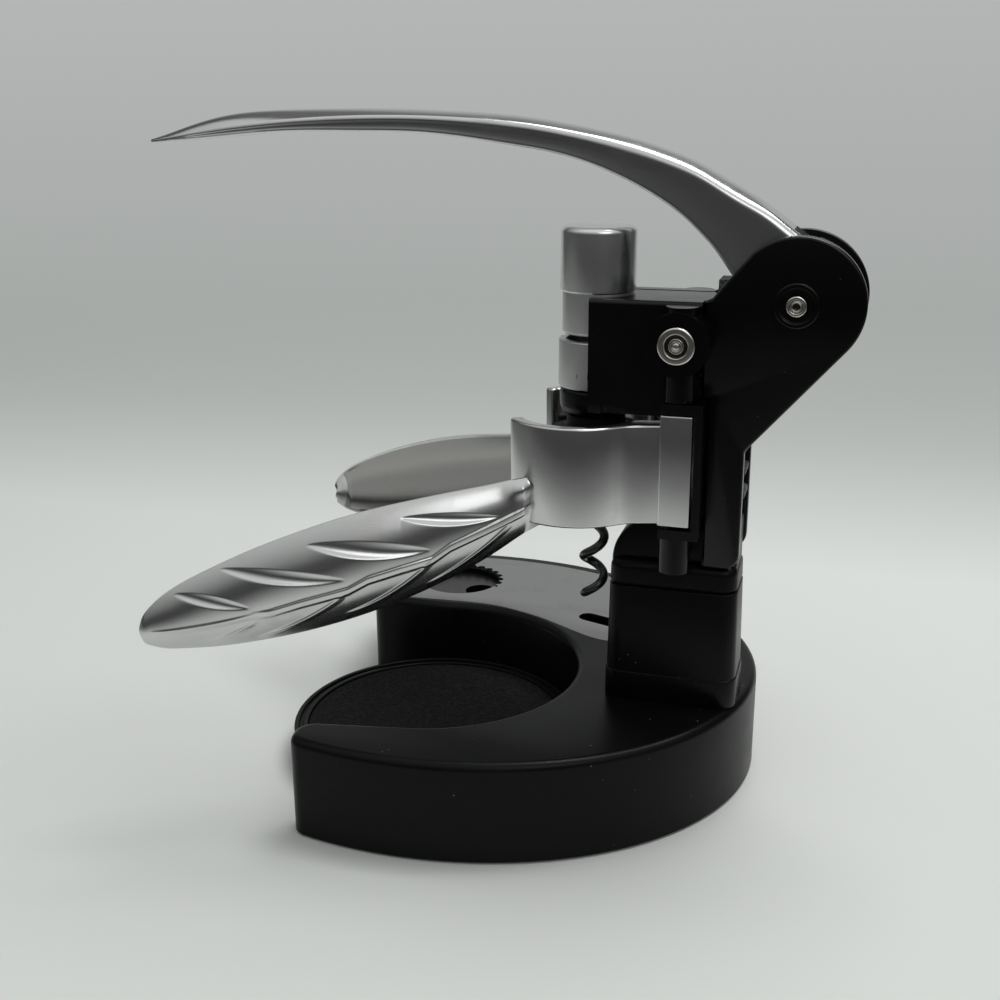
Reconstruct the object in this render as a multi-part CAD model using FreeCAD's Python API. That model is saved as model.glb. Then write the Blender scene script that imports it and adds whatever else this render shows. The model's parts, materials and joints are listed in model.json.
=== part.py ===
"""Tabletop lever corkscrew on its stand: every piece is a function that returns one shape.

Frame: millimetres, +Z up, the pad's flat underside at z = 0. -X is the lever's tip and
the grips, +X the hub and the post, and the corkscrew's mid-plane is y = 0. The shown
pose is the rest pose: lever forward, worm fully down, clamp handles spread.
"""
import FreeCAD, Part
import math
import os

from FreeCAD import Vector

os.makedirs("parts", exist_ok=True)

# Shared clearances and modelling steps
SEAT_GAP = 0.02
RUNNING_GAP = 0.05
LAYER_GAP = 0.1
DROP_IN_GAP = 0.15
OVERCUT = 1.0
NEAR_ENOUGH = 0.01

# Stand: plan of the base
BASE_HEIGHT = 28.0
BASE_HALF_LENGTH = 88.9
BASE_HALF_WIDTH = 75.1
BASE_CENTRE_X = -22.4
BASE_CENTRE_Y = 15.8
BASE_TURN_DEG = -7.3
BASE_TOP_ROUND = 2.2
SHELL_WALL = 2.6
PAD_PROUD = 0.4
PAD_INSET = 3.0
NEAR_TIP_DEG = -98.7
FAR_TIP_DEG = 126.4
TIP_ROUND = 4.6
TIP_ROUND_WIDE = 11.0
ARM_ROUND_LIMIT = 0.46

# Coaster in the round cut-out of the base
COASTER_X = -25.0
CUTOUT_RADIUS = 41.7
CUTOUT_FLARE_DEG = 10.0
MOUTH_LAP = 0.9
COASTER_GAP = 0.35
COASTER_HEIGHT = 9.75
COASTER_RIM = 1.5
COASTER_RIM_CHAMFER = 0.5
COASTER_INNER_DROP = 0.2
COASTER_GROOVE = 1.0
COASTER_GROOVE_DEPTH = 0.9
MAT_THICK = 1.5
MAT_SINK = 0.7

# Cover, its screws and the weight inside
COVER_THICK = 2.0
COVER_UNDER_WALL = 0.5
SCREW_RADIUS = 1.6
SCREW_HEAD_RADIUS = 3.2
SCREW_HEAD_DEPTH = 1.6
SCREW_LENGTH = 10.9
SCREW_ANGLES_DEG = [-102.0, -55.0, 9.0, 63.0, 119.0]
SCREW_HOLE_GAP = 0.1
SCREW_BOSS_WALL = 1.8
WEIGHT_THICK = 5.0
WEIGHT_INSET = 2.0
WEIGHT_NEAR_X = 22.0
WEIGHT_NEAR_Y = 10.0
WEIGHT_FAR_X = -8.0

# Inlay plate with the foil cutter's and the spare worm's places
INLAY_THICK = 0.9
INLAY_PROUD = 0.15
INLAY_MARGIN = 5.0
INLAY_BACK_DEG = 22.0
INLAY_TIP_DEG = 119.5
INLAY_EDGE_STEPS = 14
FOIL_X = -37.5
FOIL_Y = 63.3
FOIL_RADIUS = 13.2
FOIL_DEPTH = 2.4
FOIL_SCALLOPS = 24
FOIL_SCALLOP_RADIUS = 1.3
FINGER_RADIUS = 5.0
FINGER_DEPTH = 2.4
FINGER_RIM = 0.6
FINGER_SIDE = 2.0
SLOT_START_X = 11.5
SLOT_START_Y = 42.5
SLOT_END_X = 23.0
SLOT_END_Y = 38.5
SLOT_WIDTH = 6.0
SLOT_DEPTH = 12.0
CUP_WALL = 2.2

# Post
POST_X0 = 27.6
POST_X1 = 62.2
POST_HALF_DEPTH = 10.1
POST_CORNER = 4.5
POST_HEIGHT = 32.3
POST_DRAFT = 0.6
POST_WALL = 3.0
POST_FOOT = 12.0
COLLAR_HEIGHT = 8.0
COLLAR_PROUD = 0.7
COLLAR_ROUND = 0.5
GROOVE_HEIGHT = 0.6
GROOVE_DEPTH = 1.0
SHOULDER_HEIGHT = 6.7
SHOULDER_ROUND = 2.6
SHOULDER_INSET = 0.1
PLUG_DEPTH = 8.0
TONGUE_HALF = 6.6
TONGUE_HEIGHT = 11.4
TONGUE_NOSE = 13.0
TONGUE_FRONT_INSET = 0.7
TONGUE_BACK_INSET = 0.9
TONGUE_ROOT = 4.0
TONGUE_EDGE = 1.2
POST_SCREW_RADIUS = 1.9
POST_SCREW_HEAD = 3.6
POST_SCREW_INSET = 9.0
POST_SCREW_HEAD_DEPTH = 2.6
POST_SCREW_TIP_GAP = 1.0

# Heights of the stand's pieces that follow from the sizes above
COVER_TOP = PAD_PROUD + LAYER_GAP + COVER_THICK
LEDGE_TOP = COVER_TOP + LAYER_GAP
ROOF_LOW = BASE_HEIGHT - SHELL_WALL
POST_TOP = BASE_HEIGHT + POST_HEIGHT
SHOULDER_LOW = POST_TOP + GROOVE_HEIGHT
SHOULDER_TOP = SHOULDER_LOW + SHOULDER_HEIGHT
TONGUE_TOP = SHOULDER_TOP + TONGUE_HEIGHT
COASTER_RADIUS = CUTOUT_RADIUS - COASTER_GAP

# Frame of the corkscrew
HUB_X = 72.6
HUB_Z = 136.3
DISC_RADIUS = 16.3
DISC_BEVEL = 0.9
DISC_REAR_DEG = -41.0
DISC_FRONT_DEG = 133.0
PLATE_OUT = 10.7
PLATE_IN = 7.7
TAIL_FRONT = 52.5
TAIL_REAR = 62.0
TAIL_LIFT = 0.2
FRAME_SEAT = 67.6
TAIL_BOTTOM = FRAME_SEAT + TAIL_LIFT
TAIL_CORNER = 4.0
THROAT_X = 55.0
THROAT_Z = 140.4
THROAT_RISE = 0.9
BOSS_RING_RADIUS = 5.5
BOSS_RING_PROUD = 1.4
AXLE_RADIUS = 2.5
AXLE_HEAD_PROUD = 0.9
AXLE_HEAD_CHAMFER = 0.4
WASHER_SIDE_GAP = 0.05
HUB_WASHER_RADIUS = 6.0
DOWEL_RADIUS = 1.2
DOWEL_HALF = 7.0
DOWEL_LOW_Z = 118.0
DOWEL_HIGH_Z = 131.0

# Front block, round side bosses and the clamp pins' columns
WORM_X = 22.0
BLOCK_FRONT = 22.3
BLOCK_REAR = 50.4
BLOCK_HALF = 12.5
BLOCK_BOTTOM = 107.5
BLOCK_TOP = 136.4
BLOCK_DECK = 3.4
BLOCK_EDGE = 1.2
LEDGE_FRONT = 3.6
LEDGE_HEIGHT = 2.6
LEDGE_DEPTH = 0.8
RELIEF_RADIUS = 10.3
SIDE_BOSS_X = 45.6
SIDE_BOSS_Z = 127.0
SIDE_BOSS_RADIUS = 7.9
SIDE_BOSS_FACE = 20.0
SIDE_RIVET_RADIUS = 4.6
SIDE_RIVET_PROUD = 1.3
SIDE_RIVET_EDGE = 0.6
SIDE_RIVET_SHANK = 2.5
SIDE_RIVET_DEPTH = 6.0

# Clamp brackets and pins
PIN_X = 46.0
PIN_Y = 14.5
PIN_RADIUS = 2.0
PIN_BOSS_RADIUS = 4.0
PIN_BOSS_DROP = 9.5
PIN_TIP_GAP = 0.5
PIN_GRIP = 7.0
BRACKET_TOP = 112.2
BRACKET_LOW = 77.4
BRACKET_ARM = 2.5
BRACKET_BACK_X = 50.6
BRACKET_ARM_FRONT = 42.3
BRACKET_OUT = 18.7
BRACKET_INNER = -8.5
BRACKET_GAP = 0.1
COLUMN_GAP = 0.2
COLUMN_BOTTOM = BRACKET_TOP + COLUMN_GAP
PIN_BOSS_LOW = BRACKET_LOW - PIN_BOSS_DROP

# Clamp handles: jaw, knuckle and leaf-shaped grip
NECK_RADIUS = 14.5
LINER_THICK = 0.9
LINER_BOTTOM_GAP = 1.0
LINER_TOP_GAP = 8.0
LINER_TRIM_DEG = 9.0
JAW_THICK = 3.2
JAW_BOTTOM = 80.6
JAW_TOP = 106.4
JAW_LEAD_DEG = 197.0
JAW_TAIL_DEG = 318.0
KNUCKLE_RADIUS = 4.0
KNUCKLE_TOP = 109.4
OPEN_DEG = 17.0
GRIP_TIP_X = -81.0
GRIP_TIP_Y = 63.0
GRIP_ROOT_X = 8.0
GRIP_ROOT_Y = 24.0
GRIP_THICK = 2.6
GRIP_DISH = 0.17
GRIP_THICK_SHARE = 0.45
GRIP_RIM_SHARE = 0.2

# Lever, pinion and rack
PITCH_RADIUS = 12.0
PINION_TEETH = 12
PRESSURE_DEG = 20.0
BACKLASH = 0.16
PROFILE_SHIFT = 0.3
FLANK_STEPS = 7
RACK_TIP_REACH = 1.4
RACK_ROOT_DEPTH = 2.7
PINION_TIP = 2.2
PINION_ROOT = 2.1
PINION_HALF = 4.3
RACK_HALF = 4.1
RACK_BOTTOM = 80.2
RACK_TOP = 141.0
RACK_FRONT = 53.1
RACK_GUIDE_FRONT = 51.0
RACK_GUIDE_THICK = 1.9
RACK_GUIDE_BOTTOM = 81.0
RACK_GUIDE_TOP = 112.0
FORK_IN = 4.7
FORK_OUT = 7.3
FORK_RADIUS = 15.2
PINION_CLEAR = 0.6
RACK_PASS_Z = 142.4
RACK_PASS_X = 63.0
WEB_BACK_X = 70.6
DOWEL_CIRCLE = 7.0
DOWEL_START_DEG = 90.0
PINION_DOWELS = 3
PINION_DOWEL_GAP = 0.1
MODULE = 2 * PITCH_RADIUS / PINION_TEETH

# Carriage: carrier arm, sleeve and cap
CARRIER_HALF = 7.2
CARRIER_BOTTOM = 126.4
CARRIER_TOP = 136.3
CARRIER_STEP_X = 51.8
CARRIER_SCREW_RADIUS = 1.5
CARRIER_SCREW_LOW_Z = 129.0
CARRIER_SCREW_HIGH_Z = 133.8
CARRIER_SCREW_BACK = 8.0
CARRIER_SCREW_BITE = 2.9
SCREW_TIP_GAP = 0.2
SLEEVE_RADIUS = 9.1
SLEEVE_BOTTOM = 126.0
SLEEVE_HEIGHT = 10.9
SLEEVE_BORE = 5.4
SLEEVE_FOOT_ROUND = 1.0
SPIGOT_RADIUS = 8.2
SPIGOT_HEIGHT = 2.1
BUSH_BOTTOM_GAP = 0.8
CAP_RADIUS = 10.0
CAP_HEIGHT = 16.25
CAP_ROUND = 1.6
CAP_SEAT_GAP = 0.05
SWIVEL_HEAD_RADIUS = 7.0
SWIVEL_HEAD_HEIGHT = 3.25
WASHER_THICK = 1.0
WASHER_RADIUS = 7.6
WASHER_BORE_GAP = 0.4
SLEEVE_TOP = SLEEVE_BOTTOM + SLEEVE_HEIGHT
SPIGOT_TOP = SLEEVE_TOP + SPIGOT_HEIGHT
LOW_WASHER_Z = SPIGOT_TOP + RUNNING_GAP
SWIVEL_HEAD_BOTTOM = LOW_WASHER_Z + WASHER_THICK + LAYER_GAP
SWIVEL_HEAD_TOP = SWIVEL_HEAD_BOTTOM + SWIVEL_HEAD_HEIGHT
HIGH_WASHER_Z = SWIVEL_HEAD_TOP + LAYER_GAP
CAP_HOLLOW_TOP = HIGH_WASHER_Z + WASHER_THICK + LAYER_GAP
CAP_BOTTOM = SLEEVE_TOP + CAP_SEAT_GAP
CAP_TOP = CAP_BOTTOM + CAP_HEIGHT

# Worm
WORM_RADIUS = 2.75
WIRE_RADIUS = 1.25
WORM_PITCH = 11.2
WORM_TIP = 54.8
WORM_ROOT = 126.8
WORM_START_DEG = 241.0
WORM_POINT = 5.0
WORM_POINT_RADIUS = 0.15
WORM_SHANK_LAP = 0.6
SHANK_RADIUS = 4.6

# Guide ring, bulb and neck stop below the sleeve
RING_RADIUS = 10.0
RING_BOTTOM = 112.2
RING_HEIGHT = 12.4
RING_BORE = 4.6
RING_EDGE = 0.3
RING_CUP_RADIUS = 8.0
RING_CUP_DEPTH = 2.5
SET_SCREW_HEIGHT = 3.8
SET_SCREW_RADIUS = 1.6
SET_SCREW_DEG = -100.0
SET_SCREW_INNER = 1.2
SET_SCREW_SINK = 0.1
BULB_RADIUS = 9.6
BULB_HEIGHT = 7.35
BULB_FOOT = 7.6
BULB_KNEE = 8.9
BULB_KNEE_HEIGHT = 0.9
BULB_SHOULDER_HEIGHT = 2.4
STACK_GAP = 0.05
DECK_FIT = 0.05
STOP_RADIUS = 7.7
STOP_HEIGHT = 7.75
STOP_FOOT_RADIUS = 12.8
STOP_FOOT_HEIGHT = 2.6
STOP_FLARE = 1.0
STOP_FLARE_HEIGHT = 0.9
RING_TOP = RING_BOTTOM + RING_HEIGHT
BULB_TOP = RING_BOTTOM - STACK_GAP
BULB_BOTTOM = BULB_TOP - BULB_HEIGHT
STOP_TOP = BULB_BOTTOM - STACK_GAP
STOP_BOTTOM = STOP_TOP - STOP_HEIGHT

# Outline of the lever, seen from the side: x, crest, side edge, underside, half width
LEVER_SECTIONS = [
    (-101.5, 174.2, 173.9, 173.6, 0.7),
    (-95.0, 176.2, 174.5, 173.8, 3.2),
    (-80.0, 180.0, 176.6, 174.8, 5.8),
    (-60.0, 181.4, 179.0, 175.8, 7.6),
    (-40.0, 181.6, 180.1, 175.9, 8.5),
    (-20.0, 181.1, 180.0, 175.4, 8.7),
    (0.0, 179.8, 178.7, 172.9, 8.5),
    (15.0, 177.6, 176.5, 170.2, 8.1),
    (30.0, 174.4, 173.3, 164.7, 7.7),
    (42.0, 170.6, 169.5, 157.8, 7.35),
    (48.0, 168.0, 166.9, 152.7, 7.3),
]
LEVER_ROOT = [
    (46.0, 168.7),
    (51.8, 165.9),
    (58.8, 162.0),
    (65.7, 157.5),
    (73.4, 151.9),
    (72.6, 136.3),
    (59.0, 139.0),
    (56.3, 143.0),
    (53.3, 146.9),
    (46.0, 154.8),
]

# Leaf grip along its run from the tip: distance, upper edge, lower edge
GRIP_SECTIONS = [
    (0.6, 58.2, 53.4),
    (4.0, 63.0, 51.6),
    (10.0, 67.0, 50.6),
    (18.0, 71.4, 50.6),
    (28.0, 75.8, 51.3),
    (40.0, 80.1, 53.2),
    (54.0, 84.3, 56.6),
    (68.0, 87.2, 61.4),
    (80.0, 89.2, 66.7),
    (90.0, 90.8, 72.2),
    (99.0, 92.0, 77.6),
]

# Near edge of the inlay plate, from the far arm's tip to behind the post
INLAY_EDGE = [
    (-55.5, 43.2),
    (-40.0, 44.2),
    (-28.2, 44.8),
    (-17.9, 43.9),
    (-10.4, 41.4),
    (-3.2, 38.3),
    (4.4, 33.8),
    (11.8, 29.4),
    (17.0, 27.0),
    (24.0, 26.0),
    (36.0, 25.8),
    (46.0, 28.0),
]


def box(x0, x1, y0, y1, z0, z1):
    """An upright box between two corners."""
    return Part.makeBox(x1 - x0, y1 - y0, z1 - z0, Vector(x0, y0, z0))


def rod_z(x, y, radius, z0, z1):
    """An upright cylinder."""
    return Part.makeCylinder(radius, z1 - z0, Vector(x, y, z0))


def rod_y(x, z, radius, y0, y1):
    """A cylinder along Y."""
    return Part.makeCylinder(radius, y1 - y0, Vector(x, y0, z), Vector(0, 1, 0))


def rod_x(y, z, radius, x0, x1):
    """A cylinder along X."""
    return Part.makeCylinder(radius, x1 - x0, Vector(x0, y, z), Vector(1, 0, 0))


def prism_y(points, y0, y1):
    """A side outline of (x, z) corners, pushed from y0 to y1."""
    corners = [Vector(x, y0, z) for x, z in points]
    face = Part.Face(Part.makePolygon(corners + corners[:1]))
    return face.extrude(Vector(0, y1 - y0, 0))


def prism_z(points, z0, z1):
    """A plan outline of (x, y) corners, pushed from z0 to z1."""
    corners = [Vector(x, y, z0) for x, y in points]
    face = Part.Face(Part.makePolygon(corners + corners[:1]))
    return face.extrude(Vector(0, 0, z1 - z0))


def turned(profile, x, y=0.0):
    """A turned piece about an upright axis, from its (radius, z) half outline."""
    corners = [Vector(x + r, y, z) for r, z in profile]
    face = Part.Face(Part.makePolygon(corners + corners[:1]))
    return face.revolve(Vector(x, y, 0), Vector(0, 0, 1), 360)


def mirrored(shape):
    """The same piece on the far side of the mid-plane."""
    return shape.mirror(Vector(0, 0, 0), Vector(0, 1, 0))


def spline(points, z):
    """A smooth curve through (x, y) points at one height."""
    curve = Part.BSplineCurve()
    curve.interpolate([Vector(x, y, z) for x, y in points])
    return curve.toShape()


def rounded(shape, radius, wanted):
    """Rounds the edges that the test `wanted` picks."""
    edges = [e for e in shape.Edges if wanted(e)]
    return shape.makeFillet(radius, edges)


def middle(edge):
    """The point half-way along an edge."""
    return edge.valueAt((edge.FirstParameter + edge.LastParameter) / 2)


def is_upright(edge):
    """Whether an edge is a straight vertical one."""
    bounds = edge.BoundBox
    return bounds.XLength < NEAR_ENOUGH and bounds.YLength < NEAR_ENOUGH


def ellipse_point(inset, angle):
    """A point of the base's oval, moved inward by `inset`; `angle` is the oval's own."""
    turn = math.radians(BASE_TURN_DEG)
    u = (BASE_HALF_LENGTH - inset) * math.cos(angle)
    v = (BASE_HALF_WIDTH - inset) * math.sin(angle)
    x = BASE_CENTRE_X + u * math.cos(turn) - v * math.sin(turn)
    y = BASE_CENTRE_Y + u * math.sin(turn) + v * math.cos(turn)
    return x, y


def oval(inset, z0, z1):
    """The base's full oval as an upright block."""
    curve = Part.Ellipse(Vector(0, 0, 0), BASE_HALF_LENGTH - inset, BASE_HALF_WIDTH - inset)
    face = Part.Face(Part.Wire(curve.toShape()))
    face.rotate(Vector(0, 0, 0), Vector(0, 0, 1), BASE_TURN_DEG)
    face.translate(Vector(BASE_CENTRE_X, BASE_CENTRE_Y, z0))
    return face.extrude(Vector(0, 0, z1 - z0))


def tip_line():
    """The line through both arm tips: its near point and its direction."""
    x0, y0 = ellipse_point(0.0, math.radians(NEAR_TIP_DEG))
    x1, y1 = ellipse_point(0.0, math.radians(FAR_TIP_DEG))
    length = math.hypot(x1 - x0, y1 - y0)
    return x0, y0, (x1 - x0) / length, (y1 - y0) / length


def tip_side(inset, z0, z1):
    """Everything beyond the line through the two arm tips, moved inward by `inset`."""
    reach = 3 * BASE_HALF_LENGTH
    near_x, near_y, ux, uy = tip_line()
    nx, ny = -uy, ux
    x, y = near_x - nx * inset, near_y - ny * inset
    low = (x - ux * reach, y - uy * reach)
    high = (x + ux * reach, y + uy * reach)
    far_high = (high[0] + nx * reach, high[1] + ny * reach)
    far_low = (low[0] + nx * reach, low[1] + ny * reach)
    return prism_z([low, high, far_high, far_low], z0, z1)


def cutout(inset, z0, z1):
    """The round cut-out and its mouth between the two arms, grown by `inset`."""
    radius = CUTOUT_RADIUS + inset
    flare = math.radians(CUTOUT_FLARE_DEG)
    near = (COASTER_X + radius * math.sin(flare), -radius * math.cos(flare))
    reach = BASE_HALF_LENGTH
    near_end = (near[0] - reach * math.cos(flare), near[1] - reach * math.sin(flare))
    far_y = CUTOUT_RADIUS - MOUTH_LAP + inset
    far = (COASTER_X - math.sqrt(radius * radius - far_y * far_y), far_y)
    mouth = prism_z([near, near_end, (near_end[0], far_y), far], z0, z1)
    return rod_z(COASTER_X, 0.0, radius, z0, z1).fuse(mouth).removeSplitter()


def plan_block(inset, z0, z1):
    """The C-shaped plan of the base as an upright block."""
    block = oval(inset, z0, z1).cut(tip_side(inset, z0, z1))
    return block.cut(cutout(inset, z0, z1))


def slot_block(width, z0, z1):
    """The spare worm's slot: two round ends and the bar between them."""
    run_x = SLOT_END_X - SLOT_START_X
    run_y = SLOT_END_Y - SLOT_START_Y
    length = math.hypot(run_x, run_y)
    nx, ny = -run_y / length * width / 2, run_x / length * width / 2
    bar = prism_z([
        (SLOT_START_X + nx, SLOT_START_Y + ny),
        (SLOT_END_X + nx, SLOT_END_Y + ny),
        (SLOT_END_X - nx, SLOT_END_Y - ny),
        (SLOT_START_X - nx, SLOT_START_Y - ny),
    ], z0, z1)
    first = rod_z(SLOT_START_X, SLOT_START_Y, width / 2, z0, z1)
    last = rod_z(SLOT_END_X, SLOT_END_Y, width / 2, z0, z1)
    return bar.fuse(first).fuse(last)


def post_screw_places():
    """Centres of the two screws that hold the post."""
    return [(POST_X0 + POST_SCREW_INSET, 0.0), (POST_X1 - POST_SCREW_INSET, 0.0)]


def post_screw(x, y, grow):
    """One screw from under the base's roof up into the post."""
    head = rod_z(x, y, POST_SCREW_HEAD + grow, ROOF_LOW - POST_SCREW_HEAD_DEPTH, ROOF_LOW)
    tip = BASE_HEIGHT + POST_FOOT - POST_SCREW_TIP_GAP
    return head.fuse(rod_z(x, y, POST_SCREW_RADIUS + grow, ROOF_LOW, tip))


def post_screws():
    """Both post screws, as separate solids."""
    return Part.makeCompound([post_screw(x, y, 0.0) for x, y in post_screw_places()])


def oval_reach(angle):
    """Distance from the coaster's centre to the base's oval in one direction."""
    turn = math.radians(BASE_TURN_DEG)
    dx, dy = COASTER_X - BASE_CENTRE_X, -BASE_CENTRE_Y
    u = (dx * math.cos(turn) + dy * math.sin(turn)) / BASE_HALF_LENGTH
    v = (dy * math.cos(turn) - dx * math.sin(turn)) / BASE_HALF_WIDTH
    du = math.cos(angle - turn) / BASE_HALF_LENGTH
    dv = math.sin(angle - turn) / BASE_HALF_WIDTH
    a = du * du + dv * dv
    b = u * du + v * dv
    c = u * u + v * v - 1
    return (math.sqrt(b * b - a * c) - b) / a


def cover_screw_places():
    """Centres of the cover's screws, each midway between the cut-out and the oval."""
    places = []
    for degrees in SCREW_ANGLES_DEG:
        angle = math.radians(degrees)
        away = (CUTOUT_RADIUS + oval_reach(angle)) / 2
        places.append((COASTER_X + away * math.cos(angle), away * math.sin(angle)))
    return places


def cover_screw(x, y, grow):
    """One countersunk screw from under the cover into the shell's boss."""
    low = PAD_PROUD + LAYER_GAP
    foot = Vector(x, y, low)
    head = Part.makeCone(SCREW_HEAD_RADIUS + grow, SCREW_RADIUS + grow, SCREW_HEAD_DEPTH, foot)
    return head.fuse(rod_z(x, y, SCREW_RADIUS + grow, low, low + SCREW_LENGTH + grow))


def cover_screws():
    """The cover's screws, as separate solids."""
    return Part.makeCompound([cover_screw(x, y, 0.0) for x, y in cover_screw_places()])


def tip_distance(point):
    """How far a point of the plan lies from the line through the arm tips."""
    x, y, ux, uy = tip_line()
    return abs((point.x - x) * uy - (point.y - y) * ux)


def tip_corners(block):
    """The upright edges at the arm tips, from the near side to the far side."""
    edges = [e for e in block.Edges if is_upright(e) and tip_distance(middle(e)) < NEAR_ENOUGH]
    return sorted(edges, key=lambda e: middle(e).y)


def arm_width(near_edge, far_edge):
    """Width of an arm between two upright edges at its tip."""
    return middle(far_edge).distanceToPoint(middle(near_edge))


def arm_round(radius, width):
    """A rounding radius, limited by the width of the arm that it rounds."""
    return min(radius, width * ARM_ROUND_LIMIT)


def rounded_base(block):
    """Rounds the arm tips' corners, the far outer one widely, and then the top's edge."""
    corners = tip_corners(block)
    near_arm = arm_width(*corners[:2])
    far_arm = arm_width(*corners[-2:])
    block = block.makeFillet(arm_round(TIP_ROUND, near_arm), corners[:2])
    block = block.makeFillet(arm_round(TIP_ROUND, far_arm), tip_corners(block)[-2:-1])
    block = block.makeFillet(arm_round(TIP_ROUND_WIDE, far_arm), tip_corners(block)[-1:])
    top_round = arm_round(BASE_TOP_ROUND, near_arm)
    return rounded(block, top_round, lambda e: abs(middle(e).z - BASE_HEIGHT) < NEAR_ENOUGH)


def foil_pocket():
    """The round foil recess with its deeper finger place."""
    floor = BASE_HEIGHT - FOIL_DEPTH
    round_hole = rod_z(FOIL_X, FOIL_Y, FOIL_RADIUS, floor, BASE_HEIGHT + OVERCUT)
    x = FOIL_X + FOIL_RADIUS - FINGER_RADIUS - FINGER_RIM
    finger = rod_z(x, FOIL_Y - FINGER_SIDE, FINGER_RADIUS, floor - FINGER_DEPTH, BASE_HEIGHT)
    return round_hole.fuse(finger)


def base_shell():
    """Black moulded shell: C-shaped wall with a roof, cups and screw bosses."""
    block = rounded_base(plan_block(0.0, PAD_PROUD, BASE_HEIGHT))
    foot = oval(SHELL_WALL, PAD_PROUD, LEDGE_TOP).cut(tip_side(SHELL_WALL, PAD_PROUD, LEDGE_TOP))
    shell = block.cut(plan_block(SHELL_WALL, PAD_PROUD, ROOF_LOW)).cut(foot)
    roof = BASE_HEIGHT - SHELL_WALL / 2
    cup_low = BASE_HEIGHT - FOIL_DEPTH - FINGER_DEPTH - CUP_WALL
    cup = rod_z(FOIL_X, FOIL_Y, FOIL_RADIUS + CUP_WALL, cup_low, roof)
    trough = slot_block(SLOT_WIDTH + 2 * CUP_WALL, BASE_HEIGHT - SLOT_DEPTH - CUP_WALL, roof)
    boss = SCREW_RADIUS + SCREW_BOSS_WALL
    bosses = [rod_z(x, y, boss, LEDGE_TOP, roof) for x, y in cover_screw_places()]
    shell = shell.multiFuse([cup, trough] + bosses)
    shell = shell.cut(foil_pocket())
    shell = shell.cut(slot_block(SLOT_WIDTH, BASE_HEIGHT - SLOT_DEPTH, BASE_HEIGHT + OVERCUT))
    seat = BASE_HEIGHT - INLAY_THICK + INLAY_PROUD - SEAT_GAP
    shell = shell.cut(inlay_outline(DROP_IN_GAP, seat, BASE_HEIGHT + OVERCUT))
    for x, y in cover_screw_places():
        shell = shell.cut(cover_screw(x, y, SCREW_HOLE_GAP))
    for x, y in post_screw_places():
        shell = shell.cut(post_screw(x, y, SCREW_HOLE_GAP))
    return shell.removeSplitter()


def bottom_cover():
    """Flat cover that closes the shell and carries the coaster."""
    z0, z1 = PAD_PROUD + LAYER_GAP, COVER_TOP
    inset = SHELL_WALL + DROP_IN_GAP
    under_wall = rod_z(COASTER_X, 0.0, CUTOUT_RADIUS + SHELL_WALL + COVER_UNDER_WALL, z0, z1)
    plate = plan_block(inset, z0, z1).fuse(under_wall).cut(tip_side(inset, z0, z1))
    plate = plate.fuse(rod_z(COASTER_X, 0.0, COASTER_RADIUS, z0, z1)).removeSplitter()
    for x, y in cover_screw_places():
        plate = plate.cut(cover_screw(x, y, SCREW_HOLE_GAP))
    return plate


def non_slip_pad():
    """Foam pad under the cover; the stand rests on it."""
    inset = SHELL_WALL + PAD_INSET
    z1 = PAD_PROUD + LAYER_GAP
    plate = plan_block(inset, 0.0, z1)
    plate = plate.fuse(rod_z(COASTER_X, 0.0, CUTOUT_RADIUS - PAD_INSET, 0.0, z1))
    bridge = box(COASTER_X, HUB_X, -CUTOUT_RADIUS / 2, CUTOUT_RADIUS / 2, 0.0, z1)
    plate = plate.fuse(bridge.common(oval(inset, 0.0, z1))).removeSplitter()
    for x, y in cover_screw_places():
        plate = plate.cut(rod_z(x, y, SCREW_HEAD_RADIUS + OVERCUT, 0.0, z1))
    return max(plate.Solids, key=lambda solid: solid.Volume)


def base_weight():
    """Steel plate inside the back of the base."""
    z0 = LEDGE_TOP + LAYER_GAP
    z1 = z0 + WEIGHT_THICK
    far = 2 * BASE_HALF_LENGTH
    plate = plan_block(SHELL_WALL + WEIGHT_INSET, z0, z1)
    plate = plate.cut(box(-far, WEIGHT_NEAR_X, -far, WEIGHT_NEAR_Y, z0, z1))
    plate = plate.cut(box(-far, WEIGHT_FAR_X, 0.0, far, z0, z1))
    clear = SCREW_RADIUS + SCREW_BOSS_WALL + OVERCUT
    for x, y in cover_screw_places():
        plate = plate.cut(rod_z(x, y, clear, z0, z1))
    return plate


def coaster_disc():
    """Low round coaster with a double rim."""
    radius, z0, z1 = COASTER_RADIUS, LEDGE_TOP, COASTER_HEIGHT
    low = z1 - COASTER_GROOVE_DEPTH
    inner_top = z1 - COASTER_INNER_DROP
    floor = z1 - MAT_SINK - MAT_THICK
    groove = radius - COASTER_RIM
    inner = groove - COASTER_GROOVE
    well = inner - COASTER_RIM
    chamfer = COASTER_RIM_CHAMFER
    return turned([
        (0.0, z0), (radius, z0), (radius, z1 - chamfer), (radius - chamfer, z1), (groove, z1),
        (groove, low), (inner, low), (inner, inner_top), (well, inner_top), (well, floor), (0.0, floor),
    ], COASTER_X)


def coaster_mat():
    """Foam mat in the coaster's well."""
    radius = COASTER_RADIUS - 2 * COASTER_RIM - COASTER_GROOVE - LAYER_GAP
    z1 = COASTER_HEIGHT - MAT_SINK
    return rod_z(COASTER_X, 0.0, radius, z1 - MAT_THICK, z1)


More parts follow.
